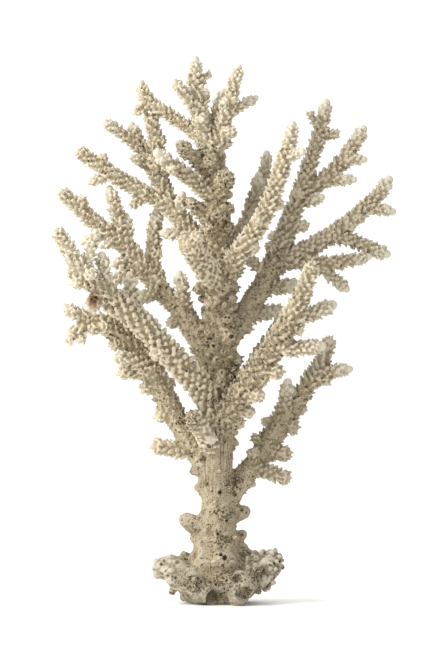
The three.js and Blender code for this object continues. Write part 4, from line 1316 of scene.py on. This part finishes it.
def hole_tops(rounds):
    """The tops of two in three of the larger round knobs: place, direction and size of the knob."""
    roots, outward, tipward, sizes = rounds.arrays()
    tops = roots + outward * (ROUND_TOP * sizes)[:, None] + tipward * (ROUND_LEAN * sizes)[:, None]
    large = (sizes >= SMALLEST_HOLED) & (np.arange(len(sizes)) % 3 > 0)
    return list(zip(tops[large], outward[large], sizes[large]))


def per_place(lines, value):
    """One value for each stored sample of the growth lines."""
    return np.concatenate([np.broadcast_to(value(line), len(line.places))[::2] for line in lines])


def faces_by_piece(lines, faces, places, names, owner):
    """Which piece each face of the skin belongs to, and the edges between faces."""
    foot = names.index("holdfast")
    centres = places[faces].mean(axis=1)
    nearest, gap = nearest_lines(centres, lines)
    labels = np.where(lobe_gaps(centres) < gap, foot, owner[nearest])
    pairs = face_pairs(faces, len(places))
    return tidy_labels(labels, pairs[0], pairs[1]), pairs


def placed_pieces(names, labels, faces, pairs, places, notes):
    """Every piece as an object that stands for its node."""
    foot = names.index("holdfast")
    branch, base = branch_coral(), holdfast_coral()
    for label, name in enumerate(names):
        piece = piece_object(f"{name}_coral", label, labels, faces, pairs, places, notes)
        if label == foot:
            cut_flat(piece)
        piece.data.materials.append(base if label == foot else branch)
        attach(piece, "root")
        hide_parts(name)


def colony():
    lines = grown_lines()
    scales, rounds = knob_places(lines)
    skin = grown_skin(scales, rounds, lines)
    metres, faces = arrays_of(skin.data, 4)
    normals = normals_of(skin.data)
    places = metres / MM
    bpy.data.objects.remove(skin)

    names = [*GROWTH_LINES, "holdfast"]
    foot = len(names) - 1
    owner = per_place(lines, lambda line: names.index(line.piece))
    nearest, gap = nearest_lines(places, lines)
    place_owner = np.where(lobe_gaps(places) < gap, foot, owner[nearest])
    to_tip = per_place(lines, lambda line: line.to_tip)[nearest]
    thick = per_place(lines, lambda line: line.radii)[nearest] > THICK_LIMB
    tapering = per_place(lines, lambda line: line.bare > 0)[nearest]
    on_foot = place_owner == foot
    on_trunk = np.isin(place_owner, [names.index(name) for name in TRUNK])
    thick &= ~np.isin(place_owner, [names.index(name) for name in BOLD])
    on_limb = ~on_trunk & ~on_foot
    net = nets(places)
    zones = {
        "limbs": on_limb & (to_tip > GROWING) & ~thick,
        "limb bases": on_limb & thick,
        "trunk": on_trunk,
        "holdfast": on_foot,
        "nets": net > 0.5,
    }

    relief = np.einsum("ij,ij->i", places - blurred(places, faces, RELIEF_BLUR), normals)
    places, grooved = grooves(places, normals, on_trunk)
    hole_shade = carve_cups(places, normals, zones, hole_tops(rounds))
    growing = blurred(on_limb * tapering * (1 - ramp(to_tip, 0.0, GROWING)), faces, TIP_BLUR)
    bleached = np.array([BLEACHED.get(name, 0.0) for name in names])[place_owner]
    # each piece's darkening: partly real tanning, partly painted shade on the rear and lower pieces
    tan = np.array([TAN_AND_SHADE.get(name, USUAL_TAN_AND_SHADE) for name in names])[place_owner]
    notes = {
        "relief": np.clip(0.5 + relief * 1.1, 0, 1),
        "tip_pale": np.maximum(growing, blurred(bleached, faces, TAN_SHADE_AND_BLEACH_BLUR)),
        # painted shade in the carved holes and grooves
        "pit_shade": np.maximum(hole_shade, grooved * 0.9),
        "tan": blurred(tan, faces, TAN_SHADE_AND_BLEACH_BLUR),
        "stain": stain(places),
        "porous": blurred((on_trunk | thick) * 1.0, faces, THICK_BLUR),
        "net": net,
    }

    labels, pairs = faces_by_piece(lines, faces, places, names, owner)
    placed_pieces(names, labels, faces, pairs, places, notes)


# ---------------------------------------------------------------- stage, light and camera
ROOM_BRIGHTNESS = 0.96
ROOM_LEAN = (-0.4, 0.15, 0.2)  # the room is brighter to the left, behind and overhead
KEY_PLACE = (-0.85, -0.45, 0.75)
KEY_SIZE = 0.5
KEY_WATTS = 11.0
CAMERA_DISTANCE = 1.8
CAMERA_ACROSS = 0.0003
CAMERA_HEIGHT = 0.153
VIEW_TALL = 0.3575


def pale_floor():
    bpy.ops.mesh.primitive_plane_add(size=6.0)
    floor = bpy.context.object
    floor.name = "floor"
    paint = bpy.data.materials.new("matt_white_paint")
    paint.use_nodes = True
    shader = paint.node_tree.nodes["Principled BSDF"]
    shader.inputs["Base Color"].default_value = linear("#fbfaf8")
    shader.inputs["Roughness"].default_value = 0.9
    floor.data.materials.append(paint)


def studio():
    world = bpy.data.worlds.new("studio")
    world.use_nodes = True
    tree = world.node_tree
    background = tree.nodes["Background"]
    background.inputs["Color"].default_value = linear("#ffffff")
    direction = add(tree, "ShaderNodeTexCoord", {}, "Generated")
    lean = {0: direction, 1: ROOM_LEAN}
    lean = add(tree, "ShaderNodeVectorMath", lean, "Value", operation="DOT_PRODUCT")
    strength = add(tree, "ShaderNodeMath", {0: lean, 1: ROOM_BRIGHTNESS}, operation="ADD")
    tree.links.new(strength, background.inputs["Strength"])
    bpy.context.scene.world = world
    bpy.context.scene.view_settings.view_transform = "Standard"

    lamp = bpy.data.lights.new("key", "AREA")
    lamp.size = KEY_SIZE
    lamp.energy = KEY_WATTS
    light = bpy.data.objects.new("key", lamp)
    light.location = KEY_PLACE
    towards = Vector((0, 0, CAMERA_HEIGHT)) - Vector(KEY_PLACE)
    light.rotation_euler = towards.to_track_quat("-Z", "Y").to_euler()
    bpy.context.scene.collection.objects.link(light)


def camera():
    lens = bpy.data.cameras.new("camera")
    seen = bpy.data.objects.new("camera", lens)
    bpy.context.scene.collection.objects.link(seen)
    seen.location = (CAMERA_ACROSS, -CAMERA_DISTANCE, CAMERA_HEIGHT)
    seen.rotation_euler = (math.pi / 2, 0, 0)
    lens.lens = lens.sensor_width * CAMERA_DISTANCE / VIEW_TALL
    bpy.context.scene.camera = seen


colony()
pale_floor()
studio()
camera()
